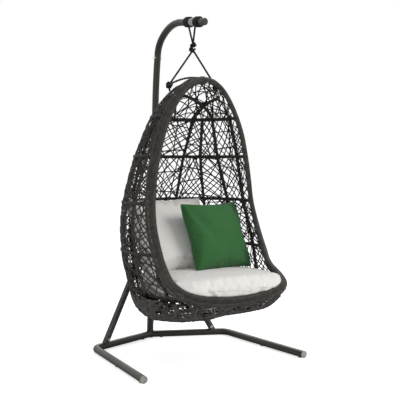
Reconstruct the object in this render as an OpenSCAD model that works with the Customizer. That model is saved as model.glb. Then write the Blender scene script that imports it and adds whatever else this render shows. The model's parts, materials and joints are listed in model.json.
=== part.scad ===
/* [Stand] */
// Outer diameter of the steel tube
tube_d = 40; // [36:0.5:44]
// Wall of the steel tube
tube_wall = 2; // [1.5:0.1:2.5]
// Height of the rubber glides under the tube
glide_h = 1.5; // [1:0.1:3]
// Distance from the middle to each rear corner of the base
base_half = 446; // [420:1:480]
// Length of each foot, from the rear corner to its tip
foot_length = 731; // [680:1:780]
// Angle by which each foot splays outwards
foot_splay = 4.1; // [2:0.1:6]
// Distance of the mast foot behind the rear corners
mast_back = 176; // [150:1:200]
// Bend radius of the rear corners
base_bend = 65; // [60:1:80]
// Height of the hub that the mast stands on
hub_h = 70; // [60:1:90]
// Lean of the straight mast
mast_lean = 3.3; // [2.5:0.1:4]
// Length of the straight part of the mast
mast_straight = 1441; // [1380:1:1500]
// Radius of the slow curve above the straight part
mast_curve = 2660; // [2400:10:2900]
// Lean at the top of the mast
neck_lean = 8.5; // [7:0.1:10]
// Straight sleeve of the crook above the joint
sleeve_length = 35; // [33:1:40]
// First, tight bend of the crook
crook_tight = 135; // [120:1:150]
// Lean at the end of the tight bend
crook_mid = 50; // [45:1:55]
// Second, wide bend of the crook
crook_wide = 300; // [280:1:320]
// Angle by which the arm dips towards its tip
arm_dip = 7.5; // [5:0.1:9]
// Length of the straight arm
arm_length = 268; // [255:1:290]
// Outer diameter of the braces
brace_d = 38; // [32:0.5:38]
// Distance from the middle to each brace foot
brace_half = 375; // [340:1:395]
// Distance along the mast from its foot to the braces
brace_up = 678; // [640:1:720]

/* [Rope] */
// Rope diameter
rope_d = 9.5; // [8:0.1:10]
// Distance of the hang line from the mast foot
hang_reach = 534; // [525:1:545]
// Distance of the rear strand behind the hang line
rear_strand = 61; // [55:1:70]
// Distance of the front strand ahead of the hang line
front_strand = 33; // [28:1:38]
// Turns of each winding round the arm
winding_turns = 4; // [3:1:5]
// Pitch of the windings
winding_pitch = 10.2; // [10:0.1:11]
// Drop from the arm to the swing pivot in the centre knot
pivot_drop = 156; // [145:1:170]
// Drop from the pivot to the side knots
side_drop = 197; // [185:1:210]
// Distance from the middle to each side knot
side_half = 149; // [142:1:155]
// Height of the egg's top over the side knots
crown_rise = 22; // [16:1:26]
// Height of the crown rope over the egg's top
strap_rise = 18; // [14:1:24]

/* [Egg] */
// Greatest width of the egg
egg_width = 810; // [780:1:840]
// Depth of the egg, back to lip
egg_depth = 835; // [800:1:860]
// Height of the egg, underside to crown
egg_height = 1317; // [1290:1:1340]
// Thickness of the woven wall
weave = 5; // [4:0.5:6]
// Diameter of the round bar of the ribs and rings
bar_d = 12; // [10:0.5:13]
// Diameter of the rim hoop
hoop_d = 22; // [20:0.5:24]
// Width of the wrapped band behind the hoop
band_w = 31; // [26:1:34]
// Thickness of the wrapped band
band_t = 10; // [8:0.5:12]
// Thickness of the seat deck
deck_t = 8; // [6:0.5:10]
// Diameter of the rails under the deck
rail_d = 14; // [12:0.5:16]

/* [Cushions] */
// Height of the seat cushion at its crown
seat_h = 116; // [105:1:125]
// Width of the back cushion
back_w = 460; // [440:1:470]
// Length of the back cushion
back_h = 450; // [430:1:460]
// Thickness of the back cushion
back_t = 150; // [130:1:155]
// Lean of the back cushion
back_lean = 33; // [31:0.5:35]
// Width and height of the scatter pillow
pillow_w = 396; // [385:1:405]
// Thickness of the scatter pillow
pillow_t = 120; // [100:1:125]
// Lean of the scatter pillow
pillow_lean = 22; // [20:0.5:24]

/* [Fit] */
// Gap between pieces that lie against each other
seat_gap = 0.3; // [0.2:0.05:0.4]
// Gap between soft pieces
soft_gap = 0.5; // [0.4:0.05:0.8]
// Radial gap of a spigot in its tube
spigot_gap = 0.2; // [0.1:0.05:0.3]

/* [Hidden] */
$fn = 64;

tube_r = tube_d / 2;
hoop_r = hoop_d / 2;

// ---- Egg surface ----
// Stations of the egg: height over the underside, half width, back, widest line and front
// as distances behind the hang line, and how square the front is
stations = [
    [0, 0, -20, -20, -20, 2], [4, 120, 110, -20, -90, 2], [25, 250, 188, 0, -100, 2.2],
    [48, 300, 243, -10, -165, 2.3], [76, 333, 272, -25, -270, 2.6], [102, 352, 292, -35, -375, 3.2],
    [132, 365, 305, -40, -422, 3.8], [156, 373, 314, -40, -448, 4.4], [232, 390, 335, -40, -450, 4.4],
    [312, 402, 360, -15, -351, 3], [391, 405, 380, 5, -315, 2.5], [522, 400, 385, 40, -263, 2.2],
    [652, 378, 384, 62, -259, 2], [782, 348, 370, 52, -268, 2], [906, 314, 343, 38, -284, 2],
    [1022, 278, 286, 14, -279, 2], [1122, 240, 224, -8, -237, 2], [1202, 195, 155, -30, -205, 2],
    [1262, 145, 100, -50, -185, 2], [1297, 100, 40, -65, -165, 2], [1312, 52, -40, -100, -150, 2],
    [1317, 0, -140, -140, -140, 2]
];
last_station = len(stations) - 1;
egg_scale = [
    egg_width / 2 / max([for (s = stations) s[1]]),
    egg_depth / (max([for (s = stations) s[2]]) - min([for (s = stations) s[4]])),
    egg_height / stations[last_station][0]
];

function interval(h, i = 0) = i >= last_station - 1 || stations[i + 1][0] > h ? i : interval(h, i + 1);
function slope(i) =
    let (a = stations[max(i - 1, 0)], b = stations[min(i + 1, last_station)])
    (b - a) / (b[0] - a[0]);
// The egg's section at a height over its underside, smooth through the stations
function section(h) =
    let (i = interval(h), a = stations[i], b = stations[i + 1], w = b[0] - a[0], f = (h - a[0]) / w)
    a * (1 + 2 * f) * (1 - f) * (1 - f) + b * f * f * (3 - 2 * f)
    + slope(i) * w * f * (1 - f) * (1 - f) - slope(i + 1) * w * f * f * (1 - f);
// A point of the egg: turn from the back towards the sitter's left, and height over the underside
function egg_shape(turn, h) =
    let (s = section(h), c = cos(turn), n = c < 0 ? s[5] : 2)
    let (r = pow(pow(abs(sin(turn)), n) + pow(abs(c), n), -1 / n))
    let (y = s[3] + r * c * (c < 0 ? s[3] - s[4] : s[2] - s[3]))
    [s[1] * r * sin(turn) * egg_scale[0], y * egg_scale[1], h * egg_scale[2]];
function egg(turn, h) = [0, hang_y, egg_low] + egg_shape(turn, h);
function unit(v) = v / max(norm(v), 1e-9);
// Outward direction of the egg's surface
function outward(turn, h) =
    let (a = egg(turn, min(h + 2, stations[last_station][0])) - egg(turn, max(h - 2, 0)))
    let (b = egg(turn + 1, h) - egg(turn - 1, h), v = cross(a, b))
    norm(v) < 1e-6 ? [0, 0, h > 600 ? 1 : -1] : unit(v);
function inset(turn, h, depth) = egg(turn, h) - depth * outward(turn, h);

// Columns of the wall and the rings: the ribs lie on every third one
column_step = 28 / 3;
columns = [for (i = [0:11]) (i + 0.5) * column_step];
all_columns = [
    for (i = [18:-1:0]) -(i + 0.5) * column_step,
    for (i = [0:18]) (i + 0.5) * column_step,
    180
];
ring_depth = weave / 2 + seat_gap + bar_d / 2;
// How much deeper the closed rings lie
ring_sink = 1.5;
rib_depth = ring_depth + ring_sink + bar_d + 2 * seat_gap;

// Heights of the rings over the underside
base_ring_h = 25;
basket_ring_h = 149;
lower_ring_h = 391;
middle_ring_h = 652;
shoulder_ring_h = 906;
crown_ring_h = 1122;

// Half of the rim, lip to crown: [turn, height over the underside]
rim_half = [
    [180, 172], [172, 173], [164, 177], [156, 184], [149, 196], [143, 212], [138.5, 233], [135.5, 260],
    [134.5, 312], [131.5, 391], [128.5, 522], [124, 652], [120.5, 782], [117.5, 906], [116, 1022],
    [118, 1122], [120.5, 1202], [124, 1262], [134, 1297], [145, 1312], [180, 1317]
];
rim_last = len(rim_half) - 1;
function spline(a, b, c, d, f) =
    0.5 * (2 * b + (c - a) * f + (2 * a - 5 * b + 4 * c - d) * f * f + (3 * b - a - 3 * c + d) * f * f * f);
function mirrored(i) = i < 0 ? [360 - rim_half[-i][0], rim_half[-i][1]] : rim_half[min(i, rim_last)];
function rim_at(u) =
    let (i = min(floor(u), rim_last - 1))
    spline(mirrored(i - 1), rim_half[i], rim_half[i + 1], mirrored(i + 2), u - i);
rim_steps = 2;
rim_count = rim_last * rim_steps;
rim_path = [
    for (k = [0:rim_count - 1]) rim_at(k / rim_steps),
    for (k = [rim_count:-1:1]) let (p = rim_at(k / rim_steps)) [-p[0], p[1]]
];
// The origin lies under the middle of the chair: the lip leads at the front, the hub's foot at the back
hub_low = tube_r - 1.5;
front_reach = hang_reach - mast_back - min([for (p = rim_path) egg_shape(p[0], p[1])[1]]) + hoop_r;
back_reach = mast_back + hub_low * sin(mast_lean) + tube_r * cos(mast_lean);
corner_y = (front_reach - back_reach) / 2;
// Turn at which the wall stops short of the hoop
edge_gap = hoop_r + 3;
rim_line = [for (k = [0:rim_count]) let (p = rim_at(k / rim_steps)) egg_shape(p[0], p[1])];
function from_segment(p, a, b) =
    let (f = max(0, min(1, (p - a) * (b - a) / ((b - a) * (b - a))))) norm(p - a - f * (b - a));
function from_rim(p) = min([for (k = [0:rim_count - 1]) from_segment(p, rim_line[k], rim_line[k + 1])]);
function rim_turn(h) = lookup(h, [for (p = rim_half) [p[1], p[0]]]);
function clear_turn(h, turn) = from_rim(egg_shape(turn, h)) >= edge_gap ? turn : clear_turn(h, turn - 0.5);
function wall_turn(h) = clear_turn(h, rim_turn(h));

// ---- Stand geometry ----
tube_z = tube_r + glide_h;
bore_r = tube_r - tube_wall;
spigot_r = bore_r - spigot_gap;
beam_len = norm([base_half, mast_back]);
beam_angle = atan2(mast_back, base_half);
base_turn = 90 - foot_splay - beam_angle;
corner_cut = base_bend * tan(base_turn / 2);
cap_t = 3;
plug_length = 14;
spigot_length = 30;
bolt_d = 8;
bolt_gap = 0.2;
head_r = 8;
head_h = 4.5;
lap = 1;
bend_swell = 0.15;
shoulder = 3;

// A point that moves along the mast line: [y, z], led by its lean from the vertical
function ahead(p, run, lean) = p + run * [-sin(lean), cos(lean)];
function swept(p, r, a, b) = p + r * [cos(b) - cos(a), sin(b) - sin(a)];
mast_foot = [corner_y + mast_back, tube_z];
mast_knee = ahead(mast_foot, mast_straight, mast_lean);
mast_top = swept(mast_knee, mast_curve, mast_lean, neck_lean);
crook_start = ahead(mast_top, sleeve_length, neck_lean);
crook_bend = swept(crook_start, crook_tight, neck_lean, crook_mid);
arm_start = swept(crook_bend, crook_wide, crook_mid, 90 + arm_dip);
arm_tip = ahead(arm_start, arm_length, 90 + arm_dip);
brace_top = ahead(mast_foot, brace_up, mast_lean);

// ---- Hanging line ----
hang_y = corner_y + mast_back - hang_reach;
function arm_z(y) = arm_start[1] - (arm_start[0] - y) * tan(arm_dip);
function arm_run(y) = (arm_start[0] - y) / cos(arm_dip);
pivot_z = arm_z(hang_y) - pivot_drop;
side_z = pivot_z - side_drop;
egg_low = side_z + crown_rise - egg_height;
rope_r = rope_d / 2;
winding_r = tube_r + 2 * seat_gap + rope_r;
lobe_r = 22;
lobe_step = 30;

// ---- Sweeps and skins ----
function ring_profile(r, n) = [for (k = [0:n - 1]) r * [cos(360 * k / n), sin(360 * k / n)]];
function tangent(p, i, closed) =
    let (n = len(p))
    closed ? unit(p[(i + 1) % n] - p[(i + n - 1) % n]) : unit(p[min(i + 1, n - 1)] - p[max(i - 1, 0)]);

// A bar of any profile along points, with its first profile axis along the given directions
module sweep(points, side, profile, closed = false) {
    n = len(points);
    m = len(profile);
    verts = [
        for (i = [0:n - 1])
            let (t = tangent(points, i, closed), a = unit(side[i] - t * (side[i] * t)), b = cross(t, a))
            for (q = profile) points[i] + a * q[0] + b * q[1]
    ];
    walls = [
        for (i = [0:(closed ? n : n - 1) - 1], j = [0:m - 1])
            let (a = i * m + j, b = i * m + (j + 1) % m, c = (i + 1) % n * m + (j + 1) % m,
                 d = (i + 1) % n * m + j)
            each [[a, c, b], [a, d, c]]
    ];
    caps = closed ? [] : [
        for (j = [1:m - 2]) each [[0, j, j + 1], [(n - 1) * m, (n - 1) * m + j + 1, (n - 1) * m + j]]
    ];
    polyhedron(verts, concat(walls, caps));
}

// A skin of even thickness: rows of points that start round one apex, open or wrapped
module skin(apex, rows, wrap, flip) {
    m = len(rows[0][0]);
    n = len(rows);
    half = 1 + n * m;
    verts = concat([apex[0]], [for (r = rows) each r[0]], [apex[1]], [for (r = rows) each r[1]]);
    function at(layer, i, j) = layer * half + 1 + i * m + j % m;
    last = wrap ? m - 1 : m - 2;
    cells = [for (i = [0:n - 2], j = [0:last]) let (a = at(0, i, j), b = at(0, i, j + 1),
        c = at(0, i + 1, j + 1), d = at(0, i + 1, j)) each [[a, b, c], [a, c, d]]];
    fan = [for (j = [0:last]) [0, at(0, 0, j + 1), at(0, 0, j)]];
    outer = concat(cells, fan);
    inner = [for (f = outer) [f[0] + half, f[2] + half, f[1] + half]];
    edge = concat(
        [for (j = [0:last]) [at(0, n - 1, j + 1), at(0, n - 1, j)]],
        wrap ? [] : [for (i = [0:n - 2]) each [[at(0, i + 1, 0), at(0, i, 0)],
            [at(0, i, m - 1), at(0, i + 1, m - 1)]]],
        wrap ? [] : [[at(0, 0, 0), 0], [0, at(0, 0, m - 1)]]
    );
    rims = [for (e = edge) each [[e[1], e[0], e[0] + half], [e[1], e[0] + half, e[1] + half]]];
    faces = concat(outer, inner, rims);
    polyhedron(verts, flip ? [for (f = faces) [f[0], f[2], f[1]]] : faces);
}

// ---- Stand pieces ----
// A round bar that runs along +Y and turns towards +X: each step is [straight run, turn, bend radius].
// A bend is a hair stouter than the straights, which lap into it.
module bent_bar(steps, r, i = 0, back = 0) {
    if (i < len(steps)) {
        run = steps[i][0];
        turn = steps[i][1];
        bend = steps[i][2];
        leads_to_bend = i + 1 < len(steps) && steps[i + 1][0] == 0;
        over = leads_to_bend ? lap / bend * 180 / PI : 0;
        if (run > 0) translate([0, -back, 0]) rotate([-90, 0, 0])
            cylinder(r = r, h = back + run + (turn > 0 ? lap : 0));
        translate([bend, run, 0]) {
            if (turn > 0) rotate(180 - turn - over) rotate_extrude(angle = turn + over)
                translate([bend, 0]) circle(r = r + bend_swell * (i + 1));
            rotate(-turn) translate([-bend, 0, 0]) bent_bar(steps, r, i + 1, lap);
        }
    }
}
module bent_tube(steps) {
    difference() {
        bent_bar(steps, tube_r);
        bent_bar(steps, bore_r);
    }
}
// Along the mast line: +Z leads on, and +X is the chair's own
module on_mast(p, lean) {
    translate([0, p[0], p[1]]) rotate([lean, 0, 0]) children();
}
module in_mast_plane(p, lean) {
    translate([0, p[0], p[1]]) rotate([90, 0, -90]) rotate(-lean) children();
}
module on_arm(run) {
    on_mast(arm_start, 90 + arm_dip) translate([0, 0, run]) children();
}
module base_half_tube() {
    foot_run = foot_length - corner_cut;
    difference() {
        translate([-base_half - foot_length * sin(foot_splay), corner_y - foot_length * cos(foot_splay), tube_z])
            rotate(-foot_splay)
                bent_tube([[foot_run, base_turn, base_bend], [beam_len - corner_cut, 0, 0]]);
        on_mast(mast_foot, mast_lean) translate([0, 0, -tube_d]) cylinder(r = tube_r, h = hub_h * 2);
        translate([-seat_gap / 2, corner_y, 0]) cube([tube_d, 2 * mast_back, 2 * tube_d]);
    }
}
module base_left() {
    color("#3b3a33") mirror([1, 0, 0]) base_half_tube();
}
module base_right() {
    color("#3b3a33") base_half_tube();
}
module base_hub() {
    color("#3b3a33") on_mast(mast_foot, mast_lean) difference() {
        union() {
            translate([0, 0, -hub_low]) cylinder(r = tube_r, h = hub_low + hub_h);
            translate([0, 0, hub_h - 1]) cylinder(r = spigot_r, h = 1 + spigot_length);
        }
        translate([0, 0, -hub_low + tube_wall]) cylinder(r = spigot_r - tube_wall, h = 2 * hub_h + hub_low);
        bolt_hole(hub_h + spigot_length / 2);
    }
}
module bolt_hole(h) {
    translate([0, 0, h]) rotate([0, 90, 0]) cylinder(r = bolt_d / 2 + bolt_gap, h = 3 * tube_d, center = true);
}
module mast() {
    low = hub_h + seat_gap;
    run = mast_straight - low;
    turn = neck_lean - mast_lean;
    color("#3b3a33") difference() {
        union() {
            in_mast_plane(ahead(mast_foot, low, mast_lean), mast_lean)
                bent_bar([[run, turn, mast_curve]], tube_r);
            on_mast(ahead(mast_top, -lap, neck_lean), neck_lean) cylinder(r = spigot_r, h = lap + spigot_length);
        }
        in_mast_plane(ahead(mast_foot, low, mast_lean), mast_lean)
            bent_bar([[run, turn - shoulder / mast_curve * 180 / PI, mast_curve]], bore_r);
        on_mast(ahead(mast_top, -2 * shoulder, neck_lean), neck_lean)
            cylinder(r = spigot_r - tube_wall, h = 2 * shoulder + 2 * spigot_length);
        on_mast(mast_foot, mast_lean) bolt_hole(hub_h + spigot_length / 2);
        on_mast(mast_top, neck_lean) bolt_hole(spigot_length / 2);
    }
}
module mast_crook() {
    color("#3b3a33") difference() {
        in_mast_plane(ahead(mast_top, seat_gap, neck_lean), neck_lean) bent_tube([
            [sleeve_length - seat_gap, crook_mid - neck_lean, crook_tight],
            [0, 90 + arm_dip - crook_mid, crook_wide],
            [arm_length, 0, 0]
        ]);
        on_mast(mast_top, neck_lean) bolt_hole(spigot_length / 2);
    }
}
// A bolt across a tube, with a domed head and nut that saddle on it
module cross_bolt(r) {
    rotate([0, 90, 0]) cylinder(r = bolt_d / 2, h = 2 * r + 2, center = true);
    for (side = [0, 1]) mirror([side, 0, 0]) difference() {
        translate([r - 3, 0, 0]) rotate([0, 90, 0]) {
            cylinder(r = head_r, h = 3 + head_h - 2);
            translate([0, 0, 1 + head_h]) cylinder(r1 = head_r, r2 = head_r - 3, h = 2);
        }
        cylinder(r = r, h = 4 * head_r, center = true);
    }
}
module crook_bolt() {
    color("#b9b8b2") on_mast(mast_top, neck_lean) translate([0, 0, spigot_length / 2]) cross_bolt(tube_r);
}
module hub_bolt() {
    color("#b9b8b2") on_mast(mast_foot, mast_lean) translate([0, 0, hub_h + spigot_length / 2])
        cross_bolt(tube_r);
}

// Braces run from the mast to the rear beams; +Z runs down the brace
brace_foot = [brace_half, corner_y + mast_back * (1 - brace_half / base_half), tube_z];
brace_head = [0, brace_top[0], brace_top[1]];
brace_span = brace_foot - brace_head;
brace_len = norm(brace_span);
brace_bolt_from_foot = 40;
module on_brace() {
    translate(brace_head) rotate([0, acos(brace_span[2] / brace_len), atan2(brace_span[1], brace_span[0])])
        children();
}
module brace() {
    difference() {
        on_brace() difference() {
            cylinder(d = brace_d, h = brace_len);
            translate([0, 0, -1]) cylinder(d = brace_d - 2 * tube_wall, h = brace_len + 2);
            translate([0, 0, brace_len - brace_bolt_from_foot]) rotate([90, 0, 0])
                cylinder(r = bolt_d / 2 + bolt_gap, h = 2 * brace_d, center = true);
        }
        on_mast(brace_top, mast_lean) cylinder(r = tube_r, h = 8 * tube_d, center = true);
        translate([seat_gap / 2 - tube_d, brace_head[1] - tube_d, brace_head[2] - 2 * tube_d])
            cube([tube_d, 2 * tube_d, 3 * tube_d]);
        translate([base_half, corner_y, tube_z]) rotate([0, -90, -beam_angle])
            cylinder(r = tube_r, h = 2 * beam_len, center = true);
    }
}
module brace_left() {
    color("#3b3a33") brace();
}
module brace_right() {
    color("#3b3a33") mirror([1, 0, 0]) brace();
}
module brace_bolts() {
    color("#b9b8b2") for (side = [0, 1]) mirror([side, 0, 0]) on_brace()
        translate([0, 0, brace_len - brace_bolt_from_foot]) rotate(90) cross_bolt(brace_d / 2);
}
module foot_caps() {
    color("#a9a8a2") for (side = [-1, 1])
        translate([side * (base_half + foot_length * sin(foot_splay)),
            corner_y - foot_length * cos(foot_splay), tube_z])
            rotate([90, 0, side * foot_splay]) {
                cylinder(r = tube_r, h = cap_t);
                translate([0, 0, -plug_length]) cylinder(r = spigot_r, h = plug_length);
            }
}
module arm_cap() {
    color("#3b3a33") on_arm(arm_length) {
        translate([0, 0, -plug_length]) cylinder(r = spigot_r, h = plug_length);
        cylinder(r = tube_r, h = cap_t);
        translate([0, 0, cap_t]) cylinder(r1 = tube_r, r2 = tube_r - 4, h = cap_t);
    }
}
glide_inset = 30;
glide_near_hub = 70;
module floor_glides() {
    pad_r = 11;
    color("#1d1d1c") for (side = [0, 1]) mirror([side, 0, 0]) {
        for (run = [foot_length - glide_inset, foot_length / 2])
            translate([-base_half - run * sin(foot_splay), corner_y - run * cos(foot_splay), 0])
                glide(pad_r, 90 - foot_splay);
        translate([-glide_near_hub * cos(beam_angle),
            corner_y + mast_back - glide_near_hub * sin(beam_angle), 0])
            glide(pad_r, beam_angle);
    }
}
// A rubber pad that saddles under a tube lying along the given direction
module glide(r, direction) {
    difference() {
        cylinder(r = r, h = glide_h + 3);
        translate([0, 0, tube_z]) rotate([90, 0, 90 + direction]) cylinder(r = tube_r, h = 4 * r, center = true);
    }
}

// ---- Rope ----
rear_run = arm_run(hang_y + rear_strand);
front_run = arm_run(hang_y - front_strand);
winding_length = winding_turns * winding_pitch;
helix_rings = 24;
// Points of a winding round the arm, which starts under it and runs along it by way
function helix(run, way) = [
    for (k = [0:winding_turns * helix_rings])
        let (a = 360 * k / helix_rings)
        [-winding_r * sin(a), -winding_r * cos(a), run + way * a / 360 * winding_pitch]
];
function least_gap(p) = min([
    for (i = [0:len(p) - 1]) for (j = [i + helix_rings / 2:len(p) - 1]) norm(p[i] - p[j])
]) - rope_d;
module winding(run, way) {
    points = helix(run, way);
    echo(str("Least gap between the turns of a winding: ", least_gap(points), " mm"));
    color("#161616") on_arm(0) sweep(points, [for (p = points) [p[0], p[1], 0]], ring_profile(rope_r, 6));
}
module rope_winding_rear() {
    winding(rear_run - rope_r, 1);
}
module rope_winding_front() {
    winding(front_run + rope_r, 1);
}
sleeve_wall = 1.2;
module arm_sleeve() {
    from = rear_run + winding_length + 1;
    to = front_run - 1;
    color("#a9a8a2") on_arm(from) difference() {
        cylinder(r = tube_r + seat_gap + sleeve_wall, h = to - from);
        translate([0, 0, -1]) cylinder(r = tube_r + seat_gap, h = to - from + 2);
    }
}
// A straight rope between two points
module strand(a, b, r = rope_r) {
    v = b - a;
    translate(a) rotate([0, acos(v[2] / norm(v)), atan2(v[1], v[0])]) cylinder(r = r, h = norm(v));
}
pivot = [0, hang_y, pivot_z];
upper_lobe = pivot + [0, 0, lobe_step];
lobe_clear = lobe_r + 2 * seat_gap;
module upper_strands() {
    color("#161616") difference() {
        for (y = [hang_y + rear_strand, hang_y - front_strand]) strand([0, y, arm_z(y)], upper_lobe);
        on_arm(arm_run(hang_y)) cylinder(r = winding_r + rope_r + seat_gap, h = 6 * tube_d, center = true);
        translate(upper_lobe) sphere(r = lobe_clear);
    }
}
// A knot as turns of rope stacked on one line: each turn is [radius of its middle, height]
module turned_knot(turns, r) {
    rotate_extrude() polygon([
        [0, turns[0][1] - r * 0.87],
        for (t = turns, a = [-60:30:60]) [t[0] + r * cos(a), t[1] + r * sin(a)],
        [0, turns[len(turns) - 1][1] + r * 0.87]
    ]);
}
turn_r = 5;
turn_step = 9.4;
module centre_knot() {
    middle = lobe_r - turn_r;
    small = middle - 4.5;
    color("#161616") translate(pivot) turned_knot([
        [small, -turn_step], [middle, 0], [small, turn_step],
        [small - 1, lobe_step - turn_step], [middle - 1, lobe_step], [small - 1, lobe_step + turn_step]
    ], turn_r);
}
function side_knot(side) = [side * side_half, hang_y, side_z];
knot_half = 14;
// Height at which the crown is as wide as given under the hang line
function crown_at(half) = lookup(half, [for (h = [1296:-4:1202]) let (s = section(h))
    [s[1] * sqrt(1 - pow(s[3] / (s[2] - s[3]), 2)) * egg_scale[0], h]]);
tail_foot_h = crown_at(side_half - rope_r);
tail_foot_z = egg_low + tail_foot_h * egg_scale[2] + (weave / 2 + seat_gap) / outward(80, tail_foot_h)[2];
tail_length = side_z - tail_foot_z;
module lower_strands() {
    color("#161616") difference() {
        for (side = [-1, 1]) strand(pivot, side_knot(side));
        translate(pivot) sphere(r = lobe_clear);
        for (side = [-1, 1]) translate(side_knot(side) - [0, 0, lobe_r])
            cylinder(r = lobe_r + rope_d, h = lobe_r + knot_half + seat_gap);
    }
}
module knot_and_tail(side) {
    color("#161616") translate(side_knot(side)) {
        turned_knot([[13, -turn_step], [17, 0], [13, turn_step]], turn_r);
        translate([0, 0, -tail_length]) cylinder(r = rope_r, h = tail_length);
    }
}
module side_knot_left() {
    knot_and_tail(1);
}
module side_knot_right() {
    knot_and_tail(-1);
}
strap_r = 5.5;
module crown_rope() {
    span = side_half - lobe_r - 3 * seat_gap;
    bow = crown_rise + strap_rise;
    points = [for (k = [-6:6]) let (f = k / 6) [f * span, hang_y - 15 * (1 - f * f), side_z + bow * (1 - f * f) + 4]];
    color("#161616") sweep(points, [for (p = points) [0, 1, 0]], ring_profile(strap_r, 8));
}

// ---- Egg frame ----
module rim_hoop() {
    color("#4a443b") sweep(
        [for (p = rim_path) egg(p[0], p[1])],
        [for (p = rim_path) outward(p[0], p[1])],
        ring_profile(hoop_r, 8), true);
}
module rim_band() {
    low = weave / 2 + 3 * seat_gap;
    near = hoop_r + seat_gap;
    color("#4a443b") sweep(
        [for (p = rim_path) egg(p[0], p[1])],
        [for (p = rim_path) outward(p[0], p[1])],
        [[low, near], [low + band_t, near], [low + band_t, near + band_w], [low, near + band_w]], true);
}
module open_ring(h) {
    reach = wall_turn(h);
    inner = [for (c = columns) if (c < reach - 2) c];
    turns = concat([-reach], [for (i = [len(inner) - 1:-1:0]) -inner[i]], inner, [reach]);
    color("#3a352e") sweep(
        [for (t = turns) inset(t, h, ring_depth)], [for (t = turns) outward(t, h)],
        ring_profile(bar_d / 2, 6));
}
module closed_ring(h) {
    color("#3a352e") sweep(
        [for (t = all_columns) inset(t, h, ring_depth + ring_sink)], [for (t = all_columns) outward(t, h)],
        ring_profile(bar_d / 2, 6), true);
}
module crown_ring() {
    open_ring(crown_ring_h);
}
module shoulder_ring() {
    open_ring(shoulder_ring_h);
}
module middle_ring() {
    open_ring(middle_ring_h);
}
module lower_ring() {
    open_ring(lower_ring_h);
}
module basket_ring() {
    closed_ring(basket_ring_h);
}
module base_ring() {
    closed_ring(base_ring_h);
}
// A bar inside the wall through points [turn, height, depth]
module bar(path, sides = 6) {
    sweep([for (p = path) inset(p[0], p[1], p[2])], [for (p = path) outward(p[0], p[1])],
        ring_profile(bar_d / 2, sides));
}
rib_heights = [25, 48, 76, 102, 132, 149, 190, 232, 312, 391, 522, 652, 782, 906, 1022, 1122];
// A pair of ribs that keeps its turn up to the shoulder and drifts above it
module rib_pair(turn, drift, low, high) {
    color("#3a352e") for (side = [-1, 1]) bar([
        for (h = rib_heights) if (h >= low && h <= high)
            [side * (turn + drift * max(0, h - middle_ring_h) / (crown_ring_h - middle_ring_h)), h,
             rib_depth + (h > shoulder_ring_h ? 1 : 0)]
    ]);
}
module back_ribs() {
    rib_pair(14, 14, base_ring_h, crown_ring_h);
}
module rear_side_ribs() {
    rib_pair(42, 0, base_ring_h, crown_ring_h);
}
module side_ribs() {
    rib_pair(70, -11, base_ring_h, crown_ring_h);
}
module front_side_ribs() {
    rib_pair(98, 0, base_ring_h, crown_ring_h);
}
module apron_ribs() {
    rib_pair(126, 0, base_ring_h, 312);
}
module crown_leg(side) {
    color("#3a352e") bar([
        for (p = [[29, 1134], [33, 1165], [45, 1210], [62, 1229], [80, 1237]])
            [side * p[0], p[1], side > 0 ? rib_depth : ring_depth + 1]
    ]);
}
module crown_leg_left() {
    crown_leg(1);
}
module crown_leg_right() {
    crown_leg(-1);
}
module crown_cross(side) {
    color("#3a352e") bar([
        for (p = [[59, 1134], [52, 1172], [45, 1210], [25, 1245], [0, 1262], [-28, 1264], [-58, 1254], [-82, 1243]])
            [side * p[0], p[1], side > 0 ? ring_depth + 1 : rib_depth]
    ]);
}
module crown_cross_left() {
    crown_cross(1);
}
module crown_cross_right() {
    crown_cross(-1);
}

// ---- Weave ----
seam_h = 157;
lip_reach = 17.5 * column_step;
wall_rows = [
    1310, 1297, 1280, 1262, 1235, 1202, 1165, 1122, 1072, 1022, 964, 906, 844, 782, 717, 652, 587, 522,
    456, 391, 351, 312, 276, 248, 226, 208, 194, 182
];
side_columns = 6;
function wall_columns(h) =
    let (reach = wall_turn(h), from = columns[11], step = (reach - from) / side_columns)
    concat(columns, [for (k = [1:side_columns]) from + k * step]);
function both_ways(c) = concat([for (i = [len(c) - 1:-1:0]) -c[i]], c);
module woven_wall() {
    t = weave / 2;
    rows = concat([for (h = wall_rows) let (c = both_ways(wall_columns(h)))
        [[for (a = c) inset(a, h, -t)], [for (a = c) inset(a, h, t)]]], [seam_row()]);
    apex = egg(0, 1316);
    color("#3f3a33") skin([apex + [0, edge_gap, t], apex + [0, edge_gap, -t]], rows, false, true);
}
function seam_row() =
    let (t = weave / 2, h = seam_h + seat_gap, step = (lip_reach - columns[11]) / side_columns)
    let (c = both_ways(concat(columns, [for (k = [1:side_columns]) columns[11] + k * step])))
    [[for (a = c) inset(a, h, -t)], [for (a = c) inset(a, h, t)]];
basket_rows = [4, 25, 48, 76, 102, 132, 145, 157];
module woven_basket() {
    t = weave / 2;
    rows = [for (h = basket_rows) [[for (a = all_columns) inset(a, h, -t)], [for (a = all_columns) inset(a, h, t)]]];
    apex = egg(0, 0);
    color("#3f3a33") skin([apex - [0, 0, t], apex + [0, 0, t]], rows, true, false);
}

// ---- Seat ----
// Top of the seat deck over the underside of the egg
deck_h = 172;
deck_z = egg_low + deck_h * egg_scale[2];
deck_inset = rib_depth + bar_d / 2 + 3;
module seat_deck() {
    color("#3a352e") translate([0, 0, deck_z - deck_t]) linear_extrude(deck_t) polygon(
        [for (a = all_columns) let (p = inset(a, basket_ring_h, deck_inset)) [p[0], p[1]]]);
}
// Places of the rails before and behind the hang line, clear of the ribs
rail_rows = [-250, -40, 140];
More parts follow.
